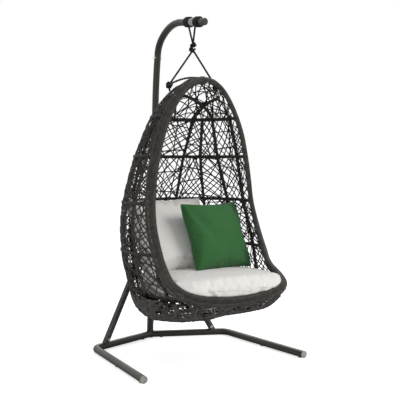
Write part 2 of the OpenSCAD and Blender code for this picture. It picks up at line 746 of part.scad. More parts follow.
// Inner side of the basket ring, front to back: [place, half width]
ring_inside = [
    for (a = concat([180], [for (i = [18:-1:0]) (i + 0.5) * column_step]))
        let (p = inset(a, basket_ring_h, ring_depth + ring_sink + bar_d / 2)) [p[1] - hang_y, p[0]]
];
function rail_half(y) = min(lookup(y - rail_d / 2, ring_inside), lookup(y + rail_d / 2, ring_inside)) - seat_gap;
module deck_rails() {
    z = deck_z - deck_t - seat_gap - rail_d / 2;
    color("#3a352e") for (y = rail_rows) translate([0, hang_y + y, z]) rotate([0, 90, 0])
        cylinder(d = rail_d, h = 2 * rail_half(y), center = true);
}
seat_low = deck_z + soft_gap;
function seat_top(x, y) =
    seat_low + seat_h - 20 * pow(x / 350, 2) - 22 * pow((y - hang_y + 230) / 330, 2);
// Rows of the seat cushion: [inset from the deck's outline, share of the height there]
seat_rows = [
    [16, 0], [5, 0.08], [0, 0.25], [2, 0.5], [0, 0.72], [6, 0.88], [22, 0.97], [60, 1], [130, 1], [210, 1]
];
function seat_point(turn, row) =
    let (p = inset(turn, basket_ring_h, deck_inset + 2 + row[0]))
    [p[0], p[1], seat_low + row[1] * (seat_top(p[0], p[1]) - seat_low)];
module seat_cushion() {
    n = len(seat_rows);
    m = len(all_columns);
    verts = concat(
        [for (r = seat_rows, a = all_columns) seat_point(a, r)],
        [[0, hang_y - 60, seat_low], [0, hang_y - 60, seat_top(0, hang_y - 60)]]);
    faces = concat(
        [for (i = [0:n - 2], j = [0:m - 1]) let (a = i * m + j, b = i * m + (j + 1) % m)
            each [[a, b, b + m], [a, b + m, a + m]]],
        [for (j = [0:m - 1]) [n * m, (j + 1) % m, j]],
        [for (j = [0:m - 1]) [n * m + 1, (n - 1) * m + j, (n - 1) * m + (j + 1) % m]]);
    color("#efece6") polyhedron(verts, faces);
}
// A stuffed cushion: thickness falls to the edge and the sides are drawn in between the corners
function puff(u, v, fullness) = pow((1 - pow(u, 4)) * (1 - pow(v, 4)), fullness);
function cushion_point(u, v, side, w, h, t, edge, draw, fullness) = [
    w / 2 * u * (1 - draw * u * u * (1 - v * v)),
    h / 2 * v * (1 - draw * v * v * (1 - u * u)),
    side * (edge + (t / 2 - edge) * puff(u, v, fullness))
];
cushion_cells = 20;
function grid(k) = let (f = 2 * k / cushion_cells - 1) f * (1.2 - 0.2 * f * f);
// Turns a point of a cushion upright, leans it back, swings it round and sets it in place
function set_up(p, lean, swing, place) =
    let (y = p[1] * sin(lean) - p[2] * cos(lean), z = p[1] * cos(lean) + p[2] * sin(lean))
    place + [p[0] * cos(swing) - y * sin(swing), p[0] * sin(swing) + y * cos(swing), z];
function rest_on_seat(p) = [p[0], p[1], max(p[2], seat_top(p[0], p[1]) + soft_gap)];
module cushion(w, h, t, edge, draw, fullness, lean, swing, place) {
    n = cushion_cells;
    row = n + 1;
    verts = [for (side = [1, -1], j = [0:n], i = [0:n])
        rest_on_seat(set_up(cushion_point(grid(i), grid(j), side, w, h, t, edge, draw, fullness),
            lean, swing, place))];
    back = row * row;
    front = [for (j = [0:n - 1], i = [0:n - 1]) let (a = j * row + i)
        each [[a, a + row + 1, a + 1], [a, a + row, a + row + 1]]];
    edge_loop = concat([for (i = [0:n - 1]) i], [for (j = [0:n - 1]) j * row + n],
        [for (i = [n:-1:1]) n * row + i], [for (j = [n:-1:1]) j * row]);
    loop = len(edge_loop);
    polyhedron(verts, concat(
        front, [for (f = front) [f[0] + back, f[2] + back, f[1] + back]],
        [for (k = [0:loop - 1]) let (a = edge_loop[k], b = edge_loop[(k + 1) % loop])
            each [[a, b, b + back], [a, b + back, a + back]]]));
}
module back_cushion() {
    color("#efece6") cushion(back_w, back_h, back_t, 38, 0.03, 0.45, back_lean, 0,
        [-80, hang_y + 85, seat_low + seat_h + 168]);
}
module scatter_pillow() {
    color("#2f6b35") cushion(pillow_w, pillow_w, pillow_t, 3, 0.06, 0.55, pillow_lean, 8.4,
        [106, hang_y - 76.5, seat_low + seat_h + 173]);
}

base_left();
base_right();
base_hub();
mast();
mast_crook();
crook_bolt();
hub_bolt();
brace_left();
brace_right();
brace_bolts();
foot_caps();
arm_cap();
floor_glides();
arm_sleeve();
rope_winding_rear();
rope_winding_front();
upper_strands();
centre_knot();
lower_strands();
side_knot_left();
side_knot_right();
crown_rope();
rim_hoop();
rim_band();
crown_ring();
shoulder_ring();
middle_ring();
lower_ring();
basket_ring();
base_ring();
back_ribs();
rear_side_ribs();
side_ribs();
front_side_ribs();
apron_ribs();
crown_leg_left();
crown_leg_right();
crown_cross_left();
crown_cross_right();
woven_wall();
woven_basket();
deck_rails();
seat_deck();
seat_cushion();
back_cushion();
scatter_pillow();
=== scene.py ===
import json
import math
import random

import bmesh
import bpy
import numpy as np
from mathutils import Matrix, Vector

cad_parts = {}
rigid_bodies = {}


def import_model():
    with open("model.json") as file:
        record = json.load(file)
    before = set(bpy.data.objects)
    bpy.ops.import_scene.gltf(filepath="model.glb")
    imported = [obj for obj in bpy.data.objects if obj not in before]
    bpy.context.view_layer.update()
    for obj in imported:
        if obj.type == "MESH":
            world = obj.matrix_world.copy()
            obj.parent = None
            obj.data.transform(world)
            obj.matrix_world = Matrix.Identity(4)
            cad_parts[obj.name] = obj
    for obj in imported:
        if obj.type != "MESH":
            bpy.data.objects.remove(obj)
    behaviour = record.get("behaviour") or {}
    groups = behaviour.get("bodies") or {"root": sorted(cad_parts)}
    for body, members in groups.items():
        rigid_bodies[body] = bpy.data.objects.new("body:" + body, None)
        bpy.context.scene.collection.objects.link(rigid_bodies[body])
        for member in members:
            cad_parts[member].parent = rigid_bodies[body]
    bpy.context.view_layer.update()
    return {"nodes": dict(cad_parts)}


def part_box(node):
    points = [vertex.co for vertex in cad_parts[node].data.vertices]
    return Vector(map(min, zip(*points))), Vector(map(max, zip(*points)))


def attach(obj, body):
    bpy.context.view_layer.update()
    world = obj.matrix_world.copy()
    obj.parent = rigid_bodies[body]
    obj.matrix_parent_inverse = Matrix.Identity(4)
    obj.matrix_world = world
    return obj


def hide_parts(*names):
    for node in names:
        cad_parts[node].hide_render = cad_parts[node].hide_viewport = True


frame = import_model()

nodes = frame["nodes"]
scene = bpy.context.scene


# camera, light and floor
shot = {
    "place": (-2.2253, -3.8653, 1.1037),
    "yaw": 30.704,
    "pitch": -2.8965,
    "lens": 71.126,
    "shiftX": 0.0006,
}

cameraData = bpy.data.cameras.new("camera")
cameraData.sensor_width = 36
cameraData.lens = shot["lens"]
cameraData.shift_x = shot["shiftX"]
cameraData.clip_end = 60
camera = bpy.data.objects.new("camera", cameraData)
camera.location = shot["place"]
camera.rotation_euler = (math.radians(90 + shot["pitch"]), 0, math.radians(-shot["yaw"]))
scene.collection.objects.link(camera)
scene.camera = camera
scene.view_settings.view_transform = "Standard"


def wire(tree, start, end):
    tree.links.new(start, end)


def add(tree, kind, inputs=None, **options):
    # a new node with its options set and its inputs linked or given constants
    node = tree.nodes.new(kind)
    for label, value in options.items():
        setattr(node, label, value)
    for label, value in (inputs or {}).items():
        if hasattr(value, "is_output"):
            wire(tree, value, node.inputs[label])
        else:
            node.inputs[label].default_value = value
    return node


def sums(tree, operation, a, b):
    return add(tree, "ShaderNodeMath", {0: a, 1: b}, operation=operation).outputs[0]


studio = {
    "ambient": 0.5,
    "key": 118,
    "fill": 24,
    "rim": 40,
    "floorGrey": 0.86,
    "floorGlow": 0.66,     # seen by the camera alone
    "floorHalf": 40,
}


def areaLamp(name, place, aim, size, watts, tint=(1, 1, 1)):
    lamp = bpy.data.lights.new(name, "AREA")
    lamp.shape = "RECTANGLE"
    lamp.size, lamp.size_y = size
    lamp.energy = watts
    lamp.color = tint
    ob = bpy.data.objects.new(name, lamp)
    ob.location = place
    ob.rotation_euler = (Vector(aim) - Vector(place)).to_track_quat("-Z", "Y").to_euler()
    scene.collection.objects.link(ob)


def makeStudio():
    world = bpy.data.worlds.new("studioWorld")
    scene.world = world
    world.use_nodes = True
    tree = world.node_tree
    tree.nodes.clear()
    # white to the camera, in reflections and through clear parts; a softer sky lights the rest
    path = add(tree, "ShaderNodeLightPath")
    seen = path.outputs["Is Camera Ray"]
    for label in ("Is Glossy Ray", "Is Transmission Ray"):
        seen = sums(tree, "MAXIMUM", seen, path.outputs[label])
    soft = add(tree, "ShaderNodeBackground", {"Color": (0.95, 0.97, 1, 1), "Strength": studio["ambient"]})
    white = add(tree, "ShaderNodeBackground", {"Color": (1, 1, 1, 1), "Strength": 1})
    mix = add(tree, "ShaderNodeMixShader", {0: seen, 1: soft.outputs[0], 2: white.outputs[0]})
    add(tree, "ShaderNodeOutputWorld", {"Surface": mix.outputs[0]})

    areaLamp("keyLamp", (2.6, -3.2, 3.4), (0, -0.1, 1.0), (2.4, 2.4), studio["key"], (1, 0.985, 0.965))
    areaLamp("fillLamp", (-3.6, -2.4, 2.2), (0, 0, 0.9), (2.6, 2.6), studio["fill"], (0.96, 0.98, 1))
    areaLamp("rimLamp", (1.8, 3.2, 2.8), (0, 0, 1.1), (2.2, 2.2), studio["rim"])

    # a pale floor that reads white to the camera but still keeps the soft shadow
    half = studio["floorHalf"]
    corners = [(-half, -half, 0), (half, -half, 0), (half, half, 0), (-half, half, 0)]
    mesh = bpy.data.meshes.new("floor")
    mesh.from_pydata(corners, [], [(0, 1, 2, 3)])
    floor = bpy.data.objects.new("floor", mesh)
    scene.collection.objects.link(floor)
    mat = bpy.data.materials.new("paleFloor")
    mat.use_nodes = True
    tree = mat.node_tree
    tree.nodes.clear()
    path = add(tree, "ShaderNodeLightPath")
    diffuse = add(tree, "ShaderNodeBsdfDiffuse", {"Color": (studio["floorGrey"],) * 3 + (1,)})
    glow = add(tree, "ShaderNodeEmission", {"Color": (1, 1, 1, 1), "Strength": studio["floorGlow"]})
    black = add(tree, "ShaderNodeEmission", {"Strength": 0})
    shares = {0: path.outputs["Is Camera Ray"], 1: black.outputs[0], 2: glow.outputs[0]}
    pick = add(tree, "ShaderNodeMixShader", shares)
    both = add(tree, "ShaderNodeAddShader", {0: diffuse.outputs[0], 1: pick.outputs[0]})
    add(tree, "ShaderNodeOutputMaterial", {"Surface": both.outputs[0]})
    mesh.materials.append(mat)


makeStudio()
print("stage: camera, lamps and floor")


# shader groups that several materials share
def newGroup(name, values):
    # fed by coordinates and the named values; gives colour, roughness and height
    group = bpy.data.node_groups.new(name, "ShaderNodeTree")
    sockets = group.interface
    sockets.new_socket("Coordinates", in_out="INPUT", socket_type="NodeSocketVector")
    for label, value in values.items():
        kind = "NodeSocketFloat" if isinstance(value, float) else "NodeSocketColor"
        sockets.new_socket(label, in_out="INPUT", socket_type=kind).default_value = value
    sockets.new_socket("Color", in_out="OUTPUT", socket_type="NodeSocketColor")
    for label in ("Roughness", "Height"):
        sockets.new_socket(label, in_out="OUTPUT", socket_type="NodeSocketFloat")
    return group, add(group, "NodeGroupInput").outputs, add(group, "NodeGroupOutput").inputs


def noise(tree, vector, scale, detail):
    inputs = {"Vector": vector, "Scale": scale, "Detail": detail, "Roughness": 0.55}
    return add(tree, "ShaderNodeTexNoise", inputs).outputs["Fac"]


def mixColour(tree, factor, a, b, blend="MIX"):
    inputs = {0: factor, 6: a, 7: b}
    return add(tree, "ShaderNodeMix", inputs, data_type="RGBA", blend_type=blend).outputs[2]


def remap(tree, value, low, high, toLow, toHigh):
    inputs = {"Value": value, "From Min": low, "From Max": high, "To Min": toLow, "To Max": toHigh}
    return add(tree, "ShaderNodeMapRange", inputs).outputs["Result"]


def strandGroup():
    # an extruded fibre: darker and lighter lengths under a fine grain
    group, given, out = newGroup("strandFibre", {
        "Dark": (0.03, 0.025, 0.02, 1), "Light": (0.09, 0.08, 0.065, 1), "Patch Scale": 22.0,
        "Line Scale": 900.0})
    patch = noise(group, given["Coordinates"], given["Patch Scale"], 2)
    grain = noise(group, given["Coordinates"], given["Line Scale"], 2)
    base = mixColour(group, remap(group, patch, 0.32, 0.68, 0, 1), given["Dark"], given["Light"])
    fleck = remap(group, grain, 0.35, 0.7, 0.82, 1.18)
    wire(group, mixColour(group, 1.0, base, fleck, "MULTIPLY"), out["Color"])
    wire(group, remap(group, grain, 0.3, 0.7, 0.5, 0.68), out["Roughness"])
    wire(group, grain, out["Height"])
    return group


def clothGroup():
    # plain weave: warp and weft on object coordinates, with slubs and a soft cloudiness
    group, given, out = newGroup("plainWeave", {
        "Colour": (0.8, 0.78, 0.74, 1), "Threads": 900.0, "Cloud": 0.06})
    split = add(group, "ShaderNodeSeparateXYZ", {0: given["Coordinates"]}).outputs
    across = sums(group, "ADD", split[0], sums(group, "MULTIPLY", split[1], 0.35))
    along = sums(group, "ADD", split[2], sums(group, "MULTIPLY", split[1], 0.75))
    warp, weft = (sums(group, "SINE", sums(group, "MULTIPLY", way, given["Threads"]), 0)
                  for way in (across, along))
    check = sums(group, "MULTIPLY", warp, weft)
    slub = noise(group, given["Coordinates"], 160, 4)
    cloud = noise(group, given["Coordinates"], 7, 3)
    height = sums(group, "ADD", sums(group, "MULTIPLY", check, 0.35), slub)
    thread = remap(group, height, 0.1, 0.9, 0.93, 1.04)
    shade = mixColour(group, 1.0, given["Colour"], thread, "MULTIPLY")
    cloudy = remap(group, cloud, 0.3, 0.7, sums(group, "SUBTRACT", 1.0, given["Cloud"]), 1.0)
    wire(group, mixColour(group, 1.0, shade, cloudy, "MULTIPLY"), out["Color"])
    wire(group, height, out["Height"])
    wire(group, remap(group, slub, 0.3, 0.7, 0.82, 0.95), out["Roughness"])
    return group


def coatGroup():
    # sprayed coat on steel: fine orange peel, faint clouding, edges rubbed paler
    group, given, out = newGroup("sprayedCoat", {
        "Colour": (0.05, 0.05, 0.04, 1), "Rubbed": (0.16, 0.155, 0.14, 1), "Peel Scale": 700.0,
        "Smooth": 0.32})
    peel = noise(group, given["Coordinates"], given["Peel Scale"], 2)
    haze = noise(group, given["Coordinates"], 5, 4)
    scuff = noise(group, given["Coordinates"], 60, 5)
    geo = add(group, "ShaderNodeNewGeometry")
    edge = remap(group, geo.outputs["Pointiness"], 0.52, 0.6, 0, 0.6)
    worn = sums(group, "MULTIPLY", edge, remap(group, scuff, 0.45, 0.6, 0, 1))
    cloud = remap(group, haze, 0.3, 0.7, 0.86, 1.12)
    clouded = mixColour(group, 1.0, given["Colour"], cloud, "MULTIPLY")
    wire(group, mixColour(group, worn, clouded, given["Rubbed"]), out["Color"])
    rough = sums(group, "ADD", given["Smooth"], remap(group, haze, 0.3, 0.7, 0, 0.12))
    wire(group, rough, out["Roughness"])
    wire(group, peel, out["Height"])
    return group


finishes = {}


def useGroup(name, group, values, bump, distance, shader):
    mat = bpy.data.materials.new(name)
    mat.use_nodes = True
    tree = mat.node_tree
    place = add(tree, "ShaderNodeTexCoord").outputs["Object"]
    node = add(tree, "ShaderNodeGroup", {"Coordinates": place, **values}, node_tree=group)
    lift = add(tree, "ShaderNodeBump", {
        "Strength": bump, "Distance": distance, "Height": node.outputs["Height"]})
    skin = tree.nodes["Principled BSDF"].inputs
    wire(tree, node.outputs["Color"], skin["Base Color"])
    wire(tree, node.outputs["Roughness"], skin["Roughness"])
    wire(tree, lift.outputs["Normal"], skin["Normal"])
    for label, value in shader.items():
        skin[label].default_value = value
    finishes[name] = mat


# dark, light, patch scale, line scale, bump, its distance, specular
strandFinishes = {
    "wallStrand": ((0.013, 0.011, 0.009, 1), (0.04, 0.034, 0.027, 1), 26.0, 900.0, 0.25, 0.0006, 0.42),
    "wrapStrand": ((0.015, 0.013, 0.01, 1), (0.042, 0.037, 0.028, 1), 34.0, 900.0, 0.25, 0.0006, 0.45),
    "rimStrand": ((0.026, 0.023, 0.018, 1), (0.068, 0.06, 0.048, 1), 40.0, 900.0, 0.25, 0.0006, 0.5),
    "basketStrand": ((0.03, 0.024, 0.021, 1), (0.1, 0.083, 0.075, 1), 30.0, 900.0, 0.25, 0.0006, 0.45),
    "barCore": ((0.012, 0.01, 0.008, 1), (0.03, 0.025, 0.02, 1), 50.0, 900.0, 0.2, 0.0005, 0.5),
    "ropeCord": ((0.006, 0.006, 0.0065, 1), (0.018, 0.018, 0.02, 1), 300.0, 1400.0, 0.5, 0.001, 0.35),
}
strandFibre = strandGroup()
for name, (dark, light, patch, grain, bump, distance, specular) in strandFinishes.items():
    useGroup(name, strandFibre, {"Dark": dark, "Light": light, "Patch Scale": patch, "Line Scale": grain},
             bump, distance, {"Specular IOR Level": specular})

# colour, colour where rubbed, roughness, bump, its distance, other settings
coatFinishes = {
    "standPaint": ((0.022, 0.0187, 0.0108, 1), (0.075, 0.07, 0.058, 1), 0.32, 0.06, 0.0003,
                   {"Specular IOR Level": 0.42, "Coat Weight": 0.06, "Coat Roughness": 0.2}),
    "capPlastic": ((0.3, 0.29, 0.26, 1), (0.4, 0.39, 0.36, 1), 0.45, 0.1, 0.0004, {}),
    "sleevePlastic": ((0.36, 0.355, 0.33, 1), (0.42, 0.41, 0.39, 1), 0.4, 0.1, 0.0004, {}),
    "boltZinc": ((0.5, 0.49, 0.46, 1), (0.62, 0.61, 0.59, 1), 0.3, 0.05, 0.0003, {"Metallic": 0.9}),
    "padRubber": ((0.016, 0.016, 0.016, 1), (0.05, 0.05, 0.05, 1), 0.7, 0.25, 0.0004, {}),
}
sprayedCoat = coatGroup()
for name, (colour, rubbed, smooth, bump, distance, other) in coatFinishes.items():
    useGroup(name, sprayedCoat, {"Colour": colour, "Rubbed": rubbed, "Smooth": smooth},
             bump, distance, other)

# colour, threads, cloudiness, bump, its distance, other settings
clothFinishes = {
    "creamCloth": ((0.87, 0.835, 0.8, 1), 3600.0, 0.04, 0.16, 0.0005,
                   {"Specular IOR Level": 0.2, "Sheen Weight": 0.15, "Sheen Roughness": 0.5}),
    "greenCloth": ((0.036, 0.14, 0.04, 1), 3200.0, 0.12, 0.22, 0.0006,
                   {"Specular IOR Level": 0.2, "Sheen Weight": 0.1, "Sheen Roughness": 0.5}),
    "creamSeam": ((0.8, 0.775, 0.73, 1), 5200.0, 0.05, 0.2, 0.0004, {}),
    "greenSeam": ((0.022, 0.1, 0.03, 1), 5200.0, 0.08, 0.2, 0.0004, {}),
}
plainWeave = clothGroup()
for name, (colour, threads, cloud, bump, distance, other) in clothFinishes.items():
    useGroup(name, plainWeave, {"Colour": colour, "Threads": threads, "Cloud": cloud},
             bump, distance, other)


def dress(names, finish):
    for name in names:
        mesh = nodes[name].data
        mesh.materials.clear()
        mesh.materials.append(finishes[finish])


dress(["base_left", "base_right", "base_hub", "mast", "mast_crook", "brace_left", "brace_right",
       "arm_cap"], "standPaint")
dress(["foot_caps"], "capPlastic")
dress(["arm_sleeve"], "sleevePlastic")
dress(["crook_bolt", "hub_bolt", "brace_bolts"], "boltZinc")
dress(["floor_glides"], "padRubber")
dress(["crown_ring", "shoulder_ring", "middle_ring", "lower_ring", "basket_ring", "base_ring",
       "back_ribs", "rear_side_ribs", "side_ribs", "front_side_ribs", "apron_ribs", "seat_deck",
       "deck_rails", "rim_hoop"], "barCore")
print("stage: finishes")


# the egg's surface: heights in millimetres over its underside, turns in degrees from the back;
# each station is height, half width, back, widest place, front and the front's squareness
eggPlace = {"hangY": -0.0450775, "low": 0.219122}
eggStations = np.array([
    [0, 0, -20, -20, -20, 2], [4, 120, 110, -20, -90, 2], [25, 250, 188, 0, -100, 2.2],
    [48, 300, 243, -10, -165, 2.3], [76, 333, 272, -25, -270, 2.6], [102, 352, 292, -35, -375, 3.2],
    [132, 365, 305, -40, -422, 3.8], [156, 373, 314, -40, -448, 4.4], [232, 390, 335, -40, -450, 4.4],
    [312, 402, 360, -15, -351, 3], [391, 405, 380, 5, -315, 2.5], [522, 400, 385, 40, -263, 2.2],
    [652, 378, 384, 62, -259, 2], [782, 348, 370, 52, -268, 2], [906, 314, 343, 38, -284, 2],
    [1022, 278, 286, 14, -279, 2], [1122, 240, 224, -8, -237, 2], [1202, 195, 155, -30, -205, 2],
    [1262, 145, 100, -50, -185, 2], [1297, 100, 40, -65, -165, 2], [1312, 52, -40, -100, -150, 2],
    [1317, 0, -140, -140, -140, 2]])
eggTop = 1317.0
# the rim's line as turn and height, from the front up one side to the top
rimHalf = np.array([
    [180, 172], [172, 173], [164, 177], [156, 184], [149, 196], [143, 212], [138.5, 233], [135.5, 260],
    [134.5, 312], [131.5, 391], [128.5, 522], [124, 652], [120.5, 782], [117.5, 906], [116, 1022],
    [118, 1122], [120.5, 1202], [124, 1262], [134, 1297], [145, 1312], [180, 1317]])
tableHeights = np.arange(0, eggTop + 0.25, 0.5)


def sectionTable():
    s = eggStations
    last = len(s) - 1
    slopes = []
    for i in range(last + 1):
        below, above = s[max(i - 1, 0)], s[min(i + 1, last)]
        slopes.append((above - below) / (above[0] - below[0]))
    rows = []
    for h in tableHeights:
        i = min(max(int(np.searchsorted(s[:, 0], h, side="right")) - 1, 0), last - 1)
        w = s[i + 1][0] - s[i][0]
        f = (h - s[i][0]) / w
        rows.append(s[i] * (1 + 2 * f) * (1 - f) ** 2 + s[i + 1] * f * f * (3 - 2 * f)
                    + slopes[i] * w * f * (1 - f) ** 2 - slopes[i + 1] * w * f * f * (1 - f))
    return np.array(rows)


eggTable = sectionTable()


def eggSkin(turn, h):
    turn, h = np.broadcast_arrays(np.asarray(turn, float), np.asarray(h, float))
    s = [np.interp(h, tableHeights, eggTable[:, k]) for k in range(1, 6)]
    c, sn = np.cos(np.radians(turn)), np.sin(np.radians(turn))
    n = np.where(c < 0, s[4], 2.0)
    r = (np.abs(sn) ** n + np.abs(c) ** n) ** (-1 / n)
    y = s[2] + r * c * np.where(c < 0, s[2] - s[3], s[1] - s[2])
    return np.stack([s[0] * r * sn, y, h], -1)


def eggOut(turn, h):
    turn, h = np.asarray(turn, float), np.asarray(h, float)
    a = eggSkin(turn, np.minimum(h + 2, eggTop)) - eggSkin(turn, np.maximum(h - 2, 0))
    b = eggSkin(turn + 1, h) - eggSkin(turn - 1, h)
    v = np.cross(a, b)
    size = np.linalg.norm(v, axis=-1, keepdims=True)
    flat = np.stack([np.zeros_like(h), np.zeros_like(h), np.where(h > eggTop / 2, 1.0, -1.0)], -1)
    return np.where(size > 1e-6, v / np.maximum(size, 1e-9), flat)


def onEgg(turn, h, lift=0.0):
    # metres, lifted by so many millimetres off the skin's middle
    p = eggSkin(turn, h) + eggOut(turn, h) * np.asarray(lift, float)[..., None]
    return p / 1000 + np.array([0, eggPlace["hangY"], eggPlace["low"]])


def spline(a, b, c, d, f):
    return 0.5 * (2 * b + (c - a) * f + (2 * a - 5 * b + 4 * c - d) * f * f
                  + (3 * b - a - 3 * c + d) * f ** 3)


def rimAt(u):
    # the line goes on past either end as its own mirror image
    last = len(rimHalf) - 1
    i = min(int(u), last - 1)
    near = []
    for k in (i - 1, i, i + 1, i + 2):
        turn, h = rimHalf[last - abs(last - abs(k))]
        near.append(np.array([turn if 0 <= k <= last else 360 - turn, h]))
    return spline(*near, u - i)


rimLine = np.array([rimAt(u) for u in np.linspace(0, len(rimHalf) - 1, 321)])


def rimTurn(h):
    return np.interp(h, rimLine[:, 1], rimLine[:, 0])


def arcLength(points):
    return np.concatenate([[0], np.cumsum(np.linalg.norm(np.diff(points, axis=0), axis=1))])


def unit(vectors):
    return vectors / np.maximum(np.linalg.norm(vectors, axis=-1, keepdims=True), 1e-9)


def sampled(at, arc, points):
    return np.stack([np.interp(at, arc, points[:, k]) for k in range(3)], -1)


# node trees that lay strands and wraps
def geoTree(name, inputs):
    tree = bpy.data.node_groups.new(name, "GeometryNodeTree")
    tree.is_modifier = True
    tree.interface.new_socket("Geometry", in_out="INPUT", socket_type="NodeSocketGeometry")
    for label, kind, value in inputs:
        socket = tree.interface.new_socket(label, in_out="INPUT", socket_type=kind)
        if value is not None:
            socket.default_value = value
    tree.interface.new_socket("Geometry", in_out="OUTPUT", socket_type="NodeSocketGeometry")
    return tree, tree.nodes.new("NodeGroupInput"), tree.nodes.new("NodeGroupOutput")


def attribute(tree, name, kind="FLOAT_VECTOR"):
    return add(tree, "GeometryNodeInputNamedAttribute", {"Name": name}, data_type=kind).outputs["Attribute"]


def paintOut(tree, inp, out, laid):
    real = add(tree, "GeometryNodeRealizeInstances", {"Geometry": laid})
    paint = add(tree, "GeometryNodeSetMaterial", {
        "Geometry": real.outputs["Geometry"], "Material": inp.outputs["Finish"]})
    wire(tree, paint.outputs["Geometry"], out.inputs["Geometry"])


def strandTree():
    # edges of a mesh become lengths of strand with a flattened round section
    tree, inp, out = geoTree("layStrands", [
        ("Width", "NodeSocketFloat", 0.006), ("Thickness", "NodeSocketFloat", 0.005),
        ("Sides", "NodeSocketInt", 6), ("Finish", "NodeSocketMaterial", None)])
    line = add(tree, "GeometryNodeMeshToCurve", {"Mesh": inp.outputs["Geometry"]})
    normal = add(tree, "GeometryNodeSetCurveNormal", {
        "Curve": line.outputs["Curve"], "Normal": attribute(tree, "up")}, mode="FREE")
    ring = add(tree, "GeometryNodeCurvePrimitiveCircle", {
        "Resolution": inp.outputs["Sides"], "Radius": 0.5})
    scale = add(tree, "ShaderNodeCombineXYZ", {0: inp.outputs["Thickness"], 1: inp.outputs["Width"], 2: 1})
    squeeze = add(tree, "GeometryNodeTransform", {
        "Geometry": ring.outputs["Curve"], "Scale": scale.outputs[0]})
    tube = add(tree, "GeometryNodeCurveToMesh", {
        "Curve": normal.outputs["Curve"], "Profile Curve": squeeze.outputs["Geometry"],
        "Scale": attribute(tree, "stout", "FLOAT"), "Fill Caps": True})
    smooth = add(tree, "GeometryNodeSetShadeSmooth", {"Geometry": tube.outputs["Mesh"]})
    paintOut(tree, inp, out, smooth.outputs["Geometry"])
    return tree


def wrapTree():
    # one small shape set at each point, its Z along "up" and its Y along "ahead"
    tree, inp, out = geoTree("setWraps", [
        ("Shape", "NodeSocketObject", None), ("Wobble", "NodeSocketFloat", 0.06),
        ("Seed", "NodeSocketInt", 7), ("Finish", "NodeSocketMaterial", None)])
    info = add(tree, "GeometryNodeObjectInfo", {"Object": inp.outputs["Shape"]})
    turn = add(tree, "FunctionNodeAxesToRotation", {
        "Primary Axis": attribute(tree, "up"), "Secondary Axis": attribute(tree, "ahead")},
        primary_axis="Z", secondary_axis="Y")
    low = sums(tree, "MULTIPLY", inp.outputs["Wobble"], -1)
    chance = add(tree, "FunctionNodeRandomValue", {
        0: low, 1: inp.outputs["Wobble"], "Seed": inp.outputs["Seed"]}, data_type="FLOAT_VECTOR")
    euler = add(tree, "FunctionNodeEulerToRotation", {0: chance.outputs[0]})
    spin = add(tree, "FunctionNodeRotateRotation", {
        "Rotation": turn.outputs[0], "Rotate By": euler.outputs[0]}, rotation_space="LOCAL")
    put = add(tree, "GeometryNodeInstanceOnPoints", {
        "Points": inp.outputs["Geometry"], "Instance": info.outputs["Geometry"],
        "Rotation": spin.outputs[0], "Scale": attribute(tree, "size")})
    paintOut(tree, inp, out, put.outputs["Instances"])
    return tree


layStrands = strandTree()
setWraps = wrapTree()


def socketId(tree, label):
    return next(s.identifier for s in tree.interface.items_tree if s.name == label and s.in_out == "INPUT")


def grow(name, mesh, tree, settings):
    # runs a node tree on a mesh and keeps the result as a plain mesh
    ob = bpy.data.objects.new(name, mesh)
    scene.collection.objects.link(ob)
    mod = ob.modifiers.new(tree.name, "NODES")
    mod.node_group = tree
    for label, value in settings.items():
        mod[socketId(tree, label)] = value
    ob.update_tag()
    bpy.context.view_layer.update()
    plain = bpy.data.meshes.new_from_object(ob.evaluated_get(bpy.context.evaluated_depsgraph_get()))
    ob.modifiers.remove(mod)
    ob.data = plain
    plain.name = name
    return ob


def vectorAttribute(mesh, name, values):
    data = mesh.attributes.new(name, "FLOAT_VECTOR", "POINT")
    data.data.foreach_set("vector", np.asarray(values, np.float32).ravel())


def strandMesh(name, lines):
    # each line is (points, ups, stout, closed)
    verts, ups, stouts, edges = [], [], [], []
    for points, up, stout, closed in lines:
        start, count = len(verts), len(points)
        verts.extend(points)
        ups.extend(up)
        stouts.extend([stout] * count if np.isscalar(stout) else stout)
        edges.extend((start + k, start + k + 1) for k in range(count - 1))
        if closed:
            edges.append((start + count - 1, start))
    mesh = bpy.data.meshes.new(name + "Lines")
    mesh.from_pydata([tuple(v) for v in verts], edges, [])
    vectorAttribute(mesh, "up", ups)
    data = mesh.attributes.new("stout", "FLOAT", "POINT")
    data.data.foreach_set("value", np.asarray(stouts, np.float32))
    return mesh


def pointMesh(name, points, aheads, ups, sizes):
    mesh = bpy.data.meshes.new(name + "Points")
    mesh.from_pydata([tuple(p) for p in points], [], [])
    vectorAttribute(mesh, "up", ups)
    vectorAttribute(mesh, "ahead", aheads)
    vectorAttribute(mesh, "size", sizes)
    return mesh


def strandPiece(name, laid, width, thickness, sides, finish):
    return grow(name, strandMesh(name, laid), layStrands, {
        "Width": width, "Thickness": thickness, "Sides": sides, "Finish": finishes[finish]})


def wrapPiece(name, placed, sizes, shape, wobble, seed, finish):
    return grow(name, pointMesh(name, *placed, sizes), setWraps, {
        "Shape": shape, "Wobble": wobble, "Seed": seed, "Finish": finishes[finish]})


def finishPiece(ob, body, slot, *replaced):
    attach(ob, body)
    if replaced:
        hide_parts(*replaced)
    print("piece", ob.name, "faces", len(ob.data.polygons))


